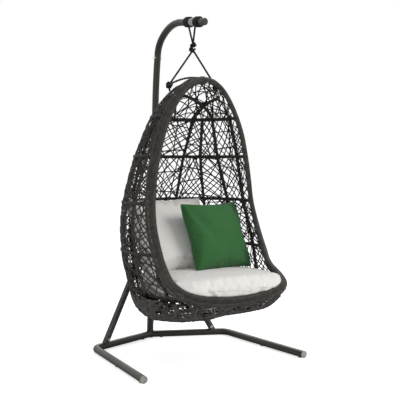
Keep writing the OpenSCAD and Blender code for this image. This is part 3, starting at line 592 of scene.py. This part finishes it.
# the open weave of the wall; lengths in millimetres but for the strand's width and thickness
wallWeave = {
    "gap": 26.5,          # between strands of one direction
    "angles": (34, 58),   # their slope, in degrees
    "stray": 7,           # how far a strand strays from its family's slope, in degrees
    "levelGap": 105.0,    # between the odd level or upright strands
    "levelTilt": 12,
    "uprightTilt": 14,
    "width": 0.0074,
    "thickness": 0.005,
    "stout": (0.82, 1.12),
    "sway": 1.6,          # how far strands weave in and out
    "wave": 17,
    "toRib": 13.0,        # how far they are drawn in to a rib
    "ribReach": 24,
    "toRing": 3.0,
    "ringReach": 18,
    "shortest": 18,
    "step": 20,
    "seed": 11,
    "rimGap": 0.9,        # share of the gap beside the rim
    "rimLow": 186,
    "rimClear": 3,        # degrees kept clear of the rim
    "crownAngles": (22, 68, 112, 155),
    "crownStray": 9,
    "crownGap": 44,
    "crownStep": 12.0,
    "crownStout": (0.8, 1.05),
}
ribTurns = (14, 42, 70, 98)
apronTurn = 126
ribDrift = {14: 14, 42: 0, 70: -11, 98: 0, 126: 0}
ringHeights = (153, 391, 652, 906, 1122)
driftFrom = ringHeights[2]
shoulder = ringHeights[-1]


def ribTurnAt(turn, h):
    side = 1 if turn >= 0 else -1
    return side * (abs(turn) + ribDrift[abs(turn)] * max(0, h - driftFrom) / (shoulder - driftFrom))


def clipped(base, d, sizes):
    # where a line enters and leaves the rectangle from 0, 0 to sizes
    lo, hi = -1e9, 1e9
    for k, size in enumerate(sizes):
        if abs(d[k]) > 1e-6:
            a, b = sorted((edge - base[k]) / d[k] for edge in (0, size))
            lo, hi = max(lo, a), min(hi, b)
        elif not 0 <= base[k] <= size:
            return 1, 0
    return lo, hi


def cellLines(rng, low, high, gap, turnAt, drawn=(1, 1)):
    # straight strands across one cell; turnAt(a, b) gives (turn, h), drawn says which sides have a rib
    w = wallWeave
    wide = np.linalg.norm(eggSkin(*turnAt(1, 0.5)) - eggSkin(*turnAt(0, 0.5)))
    tall = high - low
    families = [(rng.uniform(*w["angles"]) * sign, gap) for sign in (1, -1)]
    families.append((rng.uniform(-w["levelTilt"], w["levelTilt"]), w["levelGap"]))
    families.append((90 + rng.uniform(-w["uprightTilt"], w["uprightTilt"]), w["levelGap"]))
    reach = math.hypot(wide, tall) / 2
    found = []
    for angle, step in families:
        offset = -reach + rng.uniform(0, step)
        while offset < reach:
            slant = math.radians(angle + rng.gauss(0, w["stray"]))
            d = np.array([math.cos(slant), math.sin(slant)])
            base = np.array([wide, tall]) / 2 + np.array([-d[1], d[0]]) * offset
            lo, hi = clipped(base, d, (wide, tall))
            if hi - lo > w["shortest"]:
                ts = np.linspace(lo, hi, max(4, int((hi - lo) / w["step"]) + 1))
                pts = base + ts[:, None] * d
                turn, h = np.array([turnAt(p[0] / wide, p[1] / tall) for p in pts]).T
                sway = w["sway"] * np.sin(ts / w["wave"] + rng.uniform(0, 6.3)) + rng.uniform(-0.7, 0.7)
                ribPull = (drawn[0] * np.exp(-(pts[:, 0] / w["ribReach"]) ** 2)
                           + drawn[1] * np.exp(-((wide - pts[:, 0]) / w["ribReach"]) ** 2))
                ringPull = (np.exp(-(pts[:, 1] / w["ringReach"]) ** 2)
                            + np.exp(-((tall - pts[:, 1]) / w["ringReach"]) ** 2))
                sway -= np.maximum(w["toRib"] * ribPull, w["toRing"] * ringPull)
                found.append((turn, h, sway, rng.uniform(*w["stout"])))
            offset += step * rng.uniform(0.55, 1.45)
    return found


def wallLines(rng):
    w = wallWeave
    ribs = [-turn for turn in reversed(ribTurns)] + list(ribTurns)
    outer = ribTurns[-1]
    found = []
    for low, high in zip(ringHeights, ringHeights[1:]):
        for a, b in zip(ribs, ribs[1:]):
            def between(u, v):
                h = low + v * (high - low)
                return (1 - u) * ribTurnAt(a, h) + u * ribTurnAt(b, h), h
            found += cellLines(rng, low, high, w["gap"], between)
        base = max(low, w["rimLow"])
        for side in (-1, 1):
            def besideRim(u, v):
                h = base + v * (high - base)
                return side * (outer + u * (rimTurn(h) - w["rimClear"] - outer)), h
            found += cellLines(rng, base, high, w["gap"] * w["rimGap"], besideRim, (1, 0))
    return found


def crownLines(rng):
    # strands over the crown: straight lines in a plan unrolled from the top
    w = wallWeave
    hs = np.linspace(shoulder, eggTop - 1, 60)
    arc = (arcLength(eggSkin(np.full(60, 80.0), hs)) + arcLength(eggSkin(np.full(60, 0.0), hs))) / 2
    radius = arc[-1] - arc + 14       # plan radius at each height
    total = radius[0]
    found = []
    for angle in w["crownAngles"]:
        offset = -total
        while offset < total:
            slant = math.radians(angle + rng.gauss(0, w["crownStray"]))
            d = np.array([math.cos(slant), math.sin(slant)])
            ts = np.arange(-total, total, w["crownStep"])
            p = np.array([-d[1], d[0]]) * offset + ts[:, None] * d
            r = np.linalg.norm(p, axis=1)
            turn = np.degrees(np.arctan2(p[:, 0], p[:, 1]))
            h = np.interp(-r, -radius, hs)
            inside = (r < total) & (r > radius[-1] + 4) & (np.abs(turn) < rimTurn(h) - 4)
            run = []
            for k, good in enumerate(list(inside) + [False]):
                if good:
                    run.append(k)
                    continue
                if len(run) > 2:
                    sway = w["sway"] * np.sin(ts[run] / w["wave"] + rng.uniform(0, 6.3))
                    found.append((turn[run], h[run], sway, rng.uniform(*w["crownStout"])))
                run = []
            offset += w["crownGap"] * rng.uniform(0.6, 1.4)
    return found


def makeWall():
    rng = random.Random(wallWeave["seed"])
    found = wallLines(rng)
    found += crownLines(rng)
    laid = [(onEgg(turn, h, sway), eggOut(turn, h), stout, False) for turn, h, sway, stout in found]
    ob = strandPiece("wallWeave", laid, wallWeave["width"], wallWeave["thickness"], 6, "wallStrand")
    finishPiece(ob, "egg", "weave", "woven_wall")


makeWall()
print("stage: wall weave")


# wraps round the ribs and rings; lengths in millimetres
barWraps = {
    "pitch": 6.2, "strand": 6.0, "half": 7.3, "ringOuter": 7.6, "ringTop": 4.2, "ringLow": 16.2,
    "slant": 0.32, "wobble": 0.05,
    "ribDepth": 22.9,     # a rib's middle behind the skin's
    "ribStart": 160, "apronTop": 330,
}


def shapeFrom(name, corners, closed):
    # four-cornered rings joined in a row, or in a loop when closed
    mesh = bpy.data.meshes.new(name)
    b = bmesh.new()
    rings = [[b.verts.new(corner) for corner in ring] for ring in corners]
    for r, q in zip(rings, rings[1:] + rings[:1] if closed else rings[1:]):
        for j in range(4):
            b.faces.new((r[j], q[j], q[(j + 1) % 4], r[(j + 1) % 4]))
    if not closed:
        b.faces.new(rings[0])
        b.faces.new(rings[-1][::-1])
    bmesh.ops.recalc_face_normals(b, faces=b.faces)
    for f in b.faces:
        f.smooth = True
    b.to_mesh(mesh)
    b.free()
    return bpy.data.objects.new(name, mesh)


def loopShape(name, outerHalf, innerHalf, top, bottom, strandWide, strandThick, slant):
    # a strand loop round a bar: a rounded trapezoid in X and Z, slanted along Y; millimetres in, metres out
    middle = (top + bottom) / 2
    rings = []
    for k in range(16):
        a = 2 * math.pi * k / 16
        x = math.copysign(abs(math.cos(a)) ** 0.6, math.cos(a))
        z = math.copysign(abs(math.sin(a)) ** 0.6, math.sin(a))
        half = innerHalf + (outerHalf - innerHalf) * (z + 1) / 2
        v = Vector((x * half, x * half * slant, middle + z * (top - bottom) / 2))
        wide = Vector((0, strandWide / 2, 0))
        thick = Vector((v.x, 0, v.z - middle)).normalized() * strandThick / 2
        sides = (-wide - thick * 0.4, -wide * 0.6 + thick, wide * 0.6 + thick, wide - thick * 0.4)
        rings.append([(v + side) / 1000 for side in sides])
    return shapeFrom(name, rings, True)


def spread(turn, h, depth, pitch):
    # points every pitch mm along a path given by turn and height, with directions
    arc = arcLength(eggSkin(turn, h))
    count = max(2, int(arc[-1] / pitch))
    at = np.linspace(0, arc[-1], count)
    t2, h2 = np.interp(at, arc, turn), np.interp(at, arc, h)
    place = onEgg(t2, h2, np.full(count, -float(depth)))
    return place, unit(np.gradient(place, axis=0)), eggOut(t2, h2)


def wrapPaths(name, paths, shape, wobble, seed):
    placed = [np.concatenate(part) for part in zip(*paths)]
    ob = wrapPiece(name, placed, np.ones((len(placed[0]), 3)), shape, wobble, seed, "wrapStrand")
    finishPiece(ob, "egg", "wrapped_steel")


def makeRibWraps():
    s = barWraps
    half = s["half"]
    paths = []
    for turn in ribTurns + (apronTurn,):
        top = s["apronTop"] if turn == apronTurn else shoulder
        hs = np.arange(s["ribStart"], top, 6.0)
        for side in (-1, 1):
            turns = np.array([ribTurnAt(turn * side, h) for h in hs])
            paths.append(spread(turns, hs, s["ribDepth"], s["pitch"]))
    shape = loopShape("ribLoop", half, half, half, -half, s["strand"], 2.4, s["slant"])
    wrapPaths("ribWraps", paths, shape, s["wobble"], 3)

    paths = []
    for h in ringHeights[1:]:
        edge = float(rimTurn(h)) - wallWeave["rimClear"]
        turns = np.linspace(-edge, edge, 240)
        paths.append(spread(turns, np.full(240, float(h)), 0, s["pitch"]))
    shape = loopShape("ringLoop", s["ringOuter"], half, s["ringTop"], -s["ringLow"], s["strand"], 2.6,
                      s["slant"])
    wrapPaths("ringWraps", paths, shape, s["wobble"], 4)


makeRibWraps()


# the crossed bars that carry the crown: each runs from the shoulder to the top of the back or to the
# rope's eye, through places given by turn and height
crownBars = {"legs": [[(29, 1134), (33, 1165), (44, 1203), (58, 1226), (72, 1238), (80, 1241)],
                      [(59, 1134), (52, 1172), (44, 1203), (24, 1240), (6, 1258), (0, 1261)]],
             "depth": (13.0, 18.0), "radius": 5.6, "pitch": 6.2, "wrap": 1.2}


def makeCrownBars():
    s = crownBars
    paths = []
    for legs, depth in zip(s["legs"], s["depth"]):
        index = np.arange(len(legs))
        k = np.linspace(0, len(legs) - 1, 60)
        for side in (-1, 1):
            turn = np.interp(k, index, [p[0] * side for p in legs])
            h = np.interp(k, index, [p[1] for p in legs])
            paths.append(spread(turn, h, depth, s["pitch"]))
    thick = 2 * s["radius"] / 1000
    laid = [(place, up, 1.0, False) for place, ahead, up in paths]
    core = strandPiece("crownBars", laid, thick, thick, 10, "barCore")
    finishPiece(core, "egg", "wrapped_steel", "crown_leg_left", "crown_leg_right",
                "crown_cross_left", "crown_cross_right")
    r = s["radius"] + s["wrap"]
    shape = loopShape("crownLoop", r, r, r, -r, barWraps["strand"], 2.4, barWraps["slant"])
    wrapPaths("crownWraps", paths, shape, barWraps["wobble"], 8)


makeCrownBars()
print("stage: rib and ring wraps")


# the rim: a wrapped hoop and its plaited border; lengths in millimetres
rimTrim = {
    "hoop": 11.0, "wrap": 1.2, "pitch": 5.6, "strand": 5.4, "slant": 0.45, "wobble": 0.04,
    "rows": 3, "borderStart": 10.5, "borderWide": 32.0, "borderLift": 8.5, "borderPitch": 5.2,
    "rowDrop": 1.4,       # how much lower the outer rows lie
    "joinDrop": 3.6,
}


def rimPath(pitch):
    # points round the whole rim, with their directions ahead and away from the skin
    turn = np.concatenate([rimLine[:-1, 0], -rimLine[::-1][:-1, 0]])
    h = np.concatenate([rimLine[:-1, 1], rimLine[::-1][:-1, 1]])
    p, out = onEgg(turn, h), eggOut(turn, h)
    closed = np.vstack([p, p[:1]])
    arc = arcLength(closed)
    at = np.linspace(0, arc[-1], int(arc[-1] * 1000 / pitch), endpoint=False)
    place = sampled(at, arc, closed)
    up = unit(sampled(at, arc, np.vstack([out, out[:1]])))
    ahead = unit(np.roll(place, -1, axis=0) - np.roll(place, 1, axis=0))
    up = unit(up - ahead * (up * ahead).sum(1, keepdims=True))
    return place, ahead, up


def strokeShape(name, long, wide, thick, slant, bend):
    # a short length of strand laid across the border, X across it; millimetres in, metres out
    half = wide / 2
    section = ((-half, -thick / 2), (-half * 0.7, thick / 2), (half * 0.7, thick / 2), (half, -thick / 2))
    rings = []
    for k in range(6):
        f = k / 5 - 0.5
        x, y, z = f * long, f * slant, bend * (1 - 4 * f * f)
        rings.append([(x / 1000, (y + dy) / 1000, (z + dz) / 1000) for dy, dz in section])
    return shapeFrom(name, rings, False)


def makeRim():
    s = rimTrim
    placed = rimPath(s["pitch"])
    r = s["hoop"] + s["wrap"]
    shape = loopShape("hoopLoop", r, r, r, -r, s["strand"], 2.6, s["slant"])
    ob = wrapPiece("hoopWrap", placed, np.ones((len(placed[0]), 3)), shape, s["wobble"], 5, "rimStrand")
    finishPiece(ob, "egg", "wrapped_steel")

    # the border lies on the wall beside the hoop, away from the opening
    place, ahead, up = rimPath(s["borderPitch"])
    away = np.cross(ahead, up)
    away *= np.sign(np.median(np.sign((away * (place - place.mean(0))).sum(1))))
    band = s["borderWide"] / s["rows"]
    points, sizes = [], []
    for row in range(s["rows"]):
        across = s["borderStart"] + band * (row + 0.5)
        lift = s["borderLift"] - s["rowDrop"] * abs(row - 1)
        shift = ahead * (0.5 * s["borderPitch"] / 1000 if row % 2 else 0)
        points.append(place + away * across / 1000 + up * lift / 1000 + shift)
        sizes.append(np.tile([1, -1 if row % 2 else 1, 1], (len(place), 1)))
    for row in range(s["rows"] + 1):      # a thin line of strand along each join
        across = s["borderStart"] + band * row
        lift = s["borderLift"] - s["joinDrop"]
        points.append(place + away * across / 1000 + up * lift / 1000)
        sizes.append(np.tile([0.35, 1.5, 1], (len(place), 1)))
    copies = (len(points), 1)
    placed = (np.concatenate(points), np.tile(ahead, copies), np.tile(up, copies))
    shape = strokeShape("borderStroke", band * 1.12, 4.6, 3.0, 9.0, 1.4)
    ob = wrapPiece("borderPlait", placed, np.concatenate(sizes), shape, s["wobble"], 6, "rimStrand")
    finishPiece(ob, "egg", "weave", "rim_band")


makeRim()
print("stage: rim")


# the dense basket under the seat
basketWeave = {
    "strands": 760, "length": (170, 330), "width": 0.0074, "thickness": 0.0046,
    "stout": (0.8, 1.15), "seed": 23,
    "top": 166.0,         # height of the basket's edge, mm
    "bulge": 23.0,        # how far the underside sags ahead, mm
}


def makeBasket():
    # straight strands in a plan unrolled from the underside's middle
    s = basketWeave
    rng = random.Random(s["seed"])
    hs = np.linspace(0.5, s["top"], 120)
    ring = np.stack([eggSkin(np.full(120, t), hs) for t in (0.0, 60.0, 120.0, 180.0, 240.0, 300.0)])
    arc = np.concatenate([[0], np.cumsum(np.linalg.norm(np.diff(ring, axis=1), axis=2).mean(0))])
    total = arc[-1]
    laid = []
    for k in range(s["strands"]):
        radius = total * math.sqrt(rng.uniform(0.02, 1)) if k % 3 else total * rng.uniform(0.55, 1.0)
        where = rng.uniform(0, 2 * math.pi)
        slant = rng.uniform(0, math.pi)
        long = rng.uniform(*s["length"])
        ts = np.linspace(-long / 2, long / 2, max(6, int(long / 18)))
        middle = np.array([radius * math.sin(where), radius * math.cos(where)])
        p = middle + ts[:, None] * np.array([math.cos(slant), math.sin(slant)])
        r = np.linalg.norm(p, axis=1)
        good = r < total
        if good.sum() < 5:
            continue
        first = int(np.argmax(good))
        last = first + int(np.argmin(list(good[first:]) + [False]))
        if last - first < 4:
            continue
        p, r, ts = p[first:last], r[first:last], ts[first:last]
        turn = np.degrees(np.arctan2(p[:, 0], p[:, 1]))
        h = np.interp(r, arc, hs)
        ahead = np.clip((150 - p[:, 1]) / 400, 0, 1)
        ahead = ahead * ahead * (3 - 2 * ahead) * np.sin(np.pi * np.clip((h + 40) / 206, 0, 1))
        lift = s["bulge"] * ahead + 2.0 * np.sin(ts / 15 + rng.uniform(0, 6.3)) + rng.uniform(-2.4, 1.6)
        laid.append((onEgg(turn, h, lift), eggOut(turn, h), rng.uniform(*s["stout"]), False))
    ob = strandPiece("basketWeave", laid, s["width"], s["thickness"], 6, "basketStrand")
    finishPiece(ob, "egg", "weave", "woven_basket")


makeBasket()
print("stage: basket")


# ropes: three yarns laid round each route, and knots tied from the same rope; in metres
ropeWork = {
    "diameter": 0.0116, "yarns": 3, "yarn": 0.53, "yarnOff": 0.25, "lay": 0.036, "step": 0.0032,
    "sides": 7, "knotRadius": 0.0158, "knotRise": 0.0078,
    "lobes": ((0.003, 1.7405, 0.5), (-0.003, 1.7135, -0.45)),      # X, Z and tilt of each knot
}


def yarnLines(points, closed):
    s = ropeWork
    points = np.asarray(points, float)
    if closed:
        points = np.vstack([points, points[:1]])
    arc = arcLength(points)
    count = max(8, int(arc[-1] / s["step"]))
    at = np.linspace(0, arc[-1], count, endpoint=not closed)
    route = sampled(at, arc, points)
    if closed:
        ahead = unit(np.roll(route, -1, axis=0) - np.roll(route, 1, axis=0))
    else:
        ahead = unit(np.gradient(route, axis=0))
    side = np.zeros_like(route)
    side[0] = unit(np.cross(ahead[0], (0.31, 0.17, 0.93)))
    for k in range(1, count):
        side[k] = unit(side[k - 1] - ahead[k] * np.dot(side[k - 1], ahead[k]))
    up = np.cross(ahead, side)
    turns, slip = arc[-1] / s["lay"], 0.0
    if closed:
        v = side[-1] - ahead[0] * np.dot(side[-1], ahead[0])
        turns, slip = round(turns), math.atan2(np.dot(v, up[0]), np.dot(v, side[0]))
    laid = []
    for yarn in range(s["yarns"]):
        a = 2 * math.pi * yarn / s["yarns"] + (2 * math.pi * turns - slip) * at / arc[-1]
        off = np.cos(a)[:, None] * side + np.sin(a)[:, None] * up
        laid.append((route + off * s["diameter"] * s["yarnOff"], off, 1.0, closed))
    return laid


def layRope(name, routes, body, *replaced):
    laid = [line for points, closed in routes for line in yarnLines(points, closed)]
    yarn = ropeWork["diameter"] * ropeWork["yarn"]
    ob = strandPiece(name, laid, yarn, yarn, ropeWork["sides"], "ropeCord")
    finishPiece(ob, body, "rope", *replaced)


def knotRoute(centre, tilt):
    # an overhand knot drawn tight
    s = ropeWork
    t = np.linspace(0, 2 * math.pi, 72, endpoint=False)
    x = (np.sin(t) + 2 * np.sin(2 * t)) * s["knotRadius"] / 3
    y = (np.cos(t) - 2 * np.cos(2 * t)) * s["knotRadius"] / 3
    z = -np.sin(3 * t) * s["knotRise"]
    c, sn = math.cos(tilt), math.sin(tilt)
    return np.stack([x * c - z * sn, y, x * sn + z * c], -1) + np.asarray(centre), True


def makeRopes():
    hangY = eggPlace["hangY"]
    low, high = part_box("upper_strands")
    reach = ropeWork["diameter"] / 2
    routes = []
    for y in (high[1] - reach, low[1] + reach):
        end = (0, hangY + 0.05 * (y - hangY), low[2] - 0.01)
        routes.append(([(0, y, high[2] + 0.003), end], False))
    layRope("upperRopes", routes, "sling", "upper_strands")
    layRope("centreKnotRope", [knotRoute((x, hangY, z), tilt) for x, z, tilt in ropeWork["lobes"]],
            "knot", "centre_knot")

    low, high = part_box("side_knot_left")
    half, tie = (low[0] + high[0]) / 2, high[2] - 0.0145
    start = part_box("lower_strands")[1][2] + 0.012
    routes = [([(0.003 * side, hangY, start), (half * side, hangY, tie + 0.004)], False)
              for side in (-1, 1)]
    layRope("lowerRopes", routes, "egg", "lower_strands")
    for side, name in ((1, "left"), (-1, "right")):
        x = half * side
        layRope("sideKnotRope_" + name, [
            knotRoute((x, hangY, tie), 0.75 * side), knotRoute((x, hangY, tie - 0.004), -0.6 * side),
            ([(x, hangY, tie), (x, hangY, low[2] + 0.001)], False)], "egg", "side_knot_" + name)

    low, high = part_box("crown_rope")
    f = np.linspace(-1, 1, 25)
    arch = 1 - f * f
    rise = high[2] - low[2] - 0.011
    points = np.stack([f * (half - 0.008), hangY - 0.015 * arch, low[2] + 0.0065 + rise * arch], -1)
    layRope("crownRope", [(points, False)], "egg", "crown_rope")
    dress(["rope_winding_rear", "rope_winding_front"], "ropeCord")


makeRopes()
print("stage: ropes")


# weld at the mast's foot: a bead round the saddle where the stub meets the base tube, in metres
mastWeld = {"radius": 0.0206, "y": 0.4875, "z": 0.0216, "lean": 0.045, "bead": 0.0052, "ripples": 46,
            "ripple": 0.09}


def makeWeld():
    s = mastWeld
    t = np.linspace(0, 2 * math.pi, 4 * s["ripples"], endpoint=False)
    x, y = s["radius"] * np.cos(t), s["radius"] * np.sin(t)
    z = s["radius"] * np.abs(np.cos(t))
    place = np.stack([x, s["y"] + y - s["lean"] * z, s["z"] + z], -1)
    up = np.stack([np.cos(t), np.sin(t), np.full_like(t, 0.6)], -1)
    stout = 1 + s["ripple"] * np.sin(s["ripples"] * t)
    ob = strandPiece("mastWeld", [(place, up, stout, True)], s["bead"], s["bead"], 8, "standPaint")
    finishPiece(ob, "stand", "stand_paint")


makeWeld()
print("stage: weld")


# cushions
def copyNode(name, node, shrink):
    mesh = nodes[node].data.copy()
    mesh.name = name
    ob = bpy.data.objects.new(name, mesh)
    scene.collection.objects.link(ob)
    b = bmesh.new()
    b.from_mesh(mesh)
    bmesh.ops.remove_doubles(b, verts=b.verts, dist=1e-5)
    bmesh.ops.recalc_face_normals(b, faces=b.faces)
    for v in b.verts:
        v.co -= v.normal * shrink
    b.to_mesh(mesh)
    b.free()
    mesh.materials.clear()
    return ob


def applyAll(ob):
    plain = bpy.data.meshes.new_from_object(ob.evaluated_get(bpy.context.evaluated_depsgraph_get()))
    ob.modifiers.clear()
    ob.data = plain


def places(ob):
    co = np.zeros(len(ob.data.vertices) * 3)
    ob.data.vertices.foreach_get("co", co)
    return co.reshape(-1, 3)


def move(ob, co):
    ob.data.vertices.foreach_set("co", co.ravel())
    ob.data.update()


def padFrame(co):
    # the pad's middle, and its own across, up and out directions
    centre = (co.max(0) + co.min(0)) / 2
    thin = np.linalg.eigh(np.cov((co - centre).T))[1][:, 0]
    out = thin if thin[1] < 0 else -thin
    up = np.array([0.0, 0.0, 1.0])
    if abs(out[2]) > 0.8:
        out = out * np.sign(out[2])
        up = np.array([0.0, 1.0, 0.0])
    up = up - out * np.dot(up, out)
    up /= np.linalg.norm(up)
    return centre, np.cross(up, out), up, out


def pressFolds(co, folds):
    # soft valleys in the front face, each from one place to another in shares of the pad's half size
    centre, across, up, out = padFrame(co)
    d = co - centre
    plan = np.stack([d @ across, d @ up], -1)
    half = np.abs(plan).max(0)
    front = np.clip((d @ out) / 0.02, 0, 1)
    for start, end, depth, wide in folds:
        a, b = np.array(start) * half, np.array(end) * half
        along = np.clip((plan - a) @ (b - a) / np.dot(b - a, b - a), 0, 1)
        away = np.linalg.norm(plan - a - along[:, None] * (b - a), axis=1)
        taper = 0.35 + 0.65 * np.sin(np.pi * np.clip(along, 0.02, 0.98))
        press = depth * np.exp(-(away / wide) ** 2) * taper * front
        co -= out * press[:, None]


def leanOut(co, settings):
    # where the pad stands above the rim it spreads over it
    sel = rimLine[rimLine[:, 1] < settings["rimBelow"]]
    sel = np.vstack([sel, sel * (-1, 1)])
    rim = onEgg(sel[:, 0], sel[:, 1])
    gap = np.linalg.norm(co[:, None, :2] - rim[None, :, :2], axis=2)
    near = gap.argmin(1)
    distance = gap.min(1)
    toRim = (rim[near, :2] - co[:, :2]) / np.maximum(distance, 1e-6)[:, None]
    high = np.clip((co[:, 2] - rim[near, 2] - settings["clear"]) / settings["highBy"], 0, 1)
    high = high * high * (3 - 2 * high)
    close = np.clip(1 - distance / settings["closeBy"], 0, 1)
    co[:, :2] += toRim * (settings["overhang"] * high * close)[:, None]
    co[:, 2] -= settings["droop"] * high * close ** 3


def addSeam(name, pad, settings):
    # a narrow piped seam round the pad's widest line, found sector by sector
    co = places(pad)
    centre, across, up, out = padFrame(co)
    u, v = (co - centre) @ across, (co - centre) @ up
    count = 200
    sector = ((np.arctan2(v, u) + math.pi) / (2 * math.pi) * count).astype(int) % count
    reach = np.hypot(u, v)
    best = [np.flatnonzero(sector == k) for k in range(count)]
    line = co[[these[reach[these].argmax()] for these in best if len(these)]]
    for _ in range(3):
        line = (np.roll(line, 1, axis=0) + 2 * line + np.roll(line, -1, axis=0)) / 4
    wide = settings["piping"]
    ob = strandPiece(name, [(line, line - centre, 1.0, True)], wide, wide, 8, settings["seam"])
    finishPiece(ob, "egg", settings["slot"])


def swell(ob, settings):
    # the cover is filled like a cushion's, but no place moves further than the cap
    start = places(ob)
    cloth = ob.modifiers.new("filling", "CLOTH")
    cloth.settings.use_pressure = True
    cloth.settings.uniform_pressure_force = settings["pressure"]
    cloth.settings.effector_weights.gravity = 0
    cloth.settings.quality = 5
    cloth.settings.mass = 0.3
    cloth.settings.tension_stiffness = settings["stiff"]
    cloth.settings.compression_stiffness = settings["stiff"]
    cloth.settings.bending_stiffness = 0.3
    cloth.settings.shrink_min = settings["slack"]
    cloth.point_cache.frame_start = 1
    cloth.point_cache.frame_end = 20
    for f in range(1, 21):
        scene.frame_set(f)
    applyAll(ob)
    scene.frame_set(1)
    way = places(ob) - start
    size = np.linalg.norm(way, axis=1, keepdims=True)
    move(ob, start + way * np.minimum(1, settings["cap"] / np.maximum(size, 1e-9)))


def stuff(name, node, settings):
    ob = copyNode(name, node, settings["shrink"])
    remesh = ob.modifiers.new("evenMesh", "REMESH")
    remesh.mode = "VOXEL"
    remesh.voxel_size = settings["voxel"]
    applyAll(ob)
    swell(ob, settings)
    ease = ob.modifiers.new("ease", "SMOOTH")
    ease.factor = 0.5
    ease.iterations = settings["ease"]
    applyAll(ob)
    co = places(ob)
    pressFolds(co, settings["folds"])
    if "overhang" in settings:
        leanOut(co, settings)
    move(ob, co)
    for p in ob.data.polygons:
        p.use_smooth = True
    ob.data.materials.clear()
    ob.data.materials.append(finishes[settings["finish"]])
    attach(ob, "egg")
    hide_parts(node)
    print("padded piece", name, len(ob.data.polygons))
    return ob


# each fold: its start and end in shares of the half size, its depth and its width in metres
seatPad = {
    "shrink": 0.004, "voxel": 0.006, "pressure": 4, "stiff": 12, "slack": -0.04, "cap": 0.009, "ease": 4,
    "finish": "creamCloth", "seam": "creamSeam", "piping": 0.0034, "slot": "cream_fabric", "fill": 0.8,
    "overhang": 0.064, "clear": 0.004, "droop": 0.02, "highBy": 0.018, "closeBy": 0.16, "rimBelow": 330,
    "folds": []}
backPad = {
    "shrink": 0.004, "voxel": 0.006, "pressure": 4, "stiff": 12, "slack": -0.05, "cap": 0.01, "ease": 3,
    "finish": "creamCloth", "seam": "creamSeam", "piping": 0.0034, "slot": "cream_fabric", "fill": 0.8,
    "folds": [((0.95, 0.9), (0.35, 0.25), 0.016, 0.03), ((-0.9, 0.9), (-0.4, 0.3), 0.01, 0.03),
              ((0.2, 0.98), (0.1, 0.6), 0.006, 0.02)]}
greenPad = {
    "shrink": 0.003, "voxel": 0.005, "pressure": 4, "stiff": 12, "slack": -0.05, "cap": 0.008, "ease": 2,
    "finish": "greenCloth", "seam": "greenSeam", "piping": 0.0034, "slot": "green_fabric", "fill": 0.8,
    "folds": [((-0.97, 0.97), (-0.3, -0.1), 0.016, 0.034), ((0.97, 0.97), (0.55, 0.45), 0.008, 0.02),
              ((0.97, -0.97), (0.5, -0.5), 0.008, 0.02), ((-0.97, -0.97), (-0.5, -0.55), 0.008, 0.02)]}
for name, node, settings in (("seatPad", "seat_cushion", seatPad), ("backPad", "back_cushion", backPad),
                             ("greenPad", "scatter_pillow", greenPad)):
    addSeam(name + "Seam", stuff(name, node, settings), settings)
print("stage: cushions")

for spare in [ob for ob in bpy.data.objects if ob.name.endswith(("Loop", "Stroke"))]:
    bpy.data.objects.remove(spare)
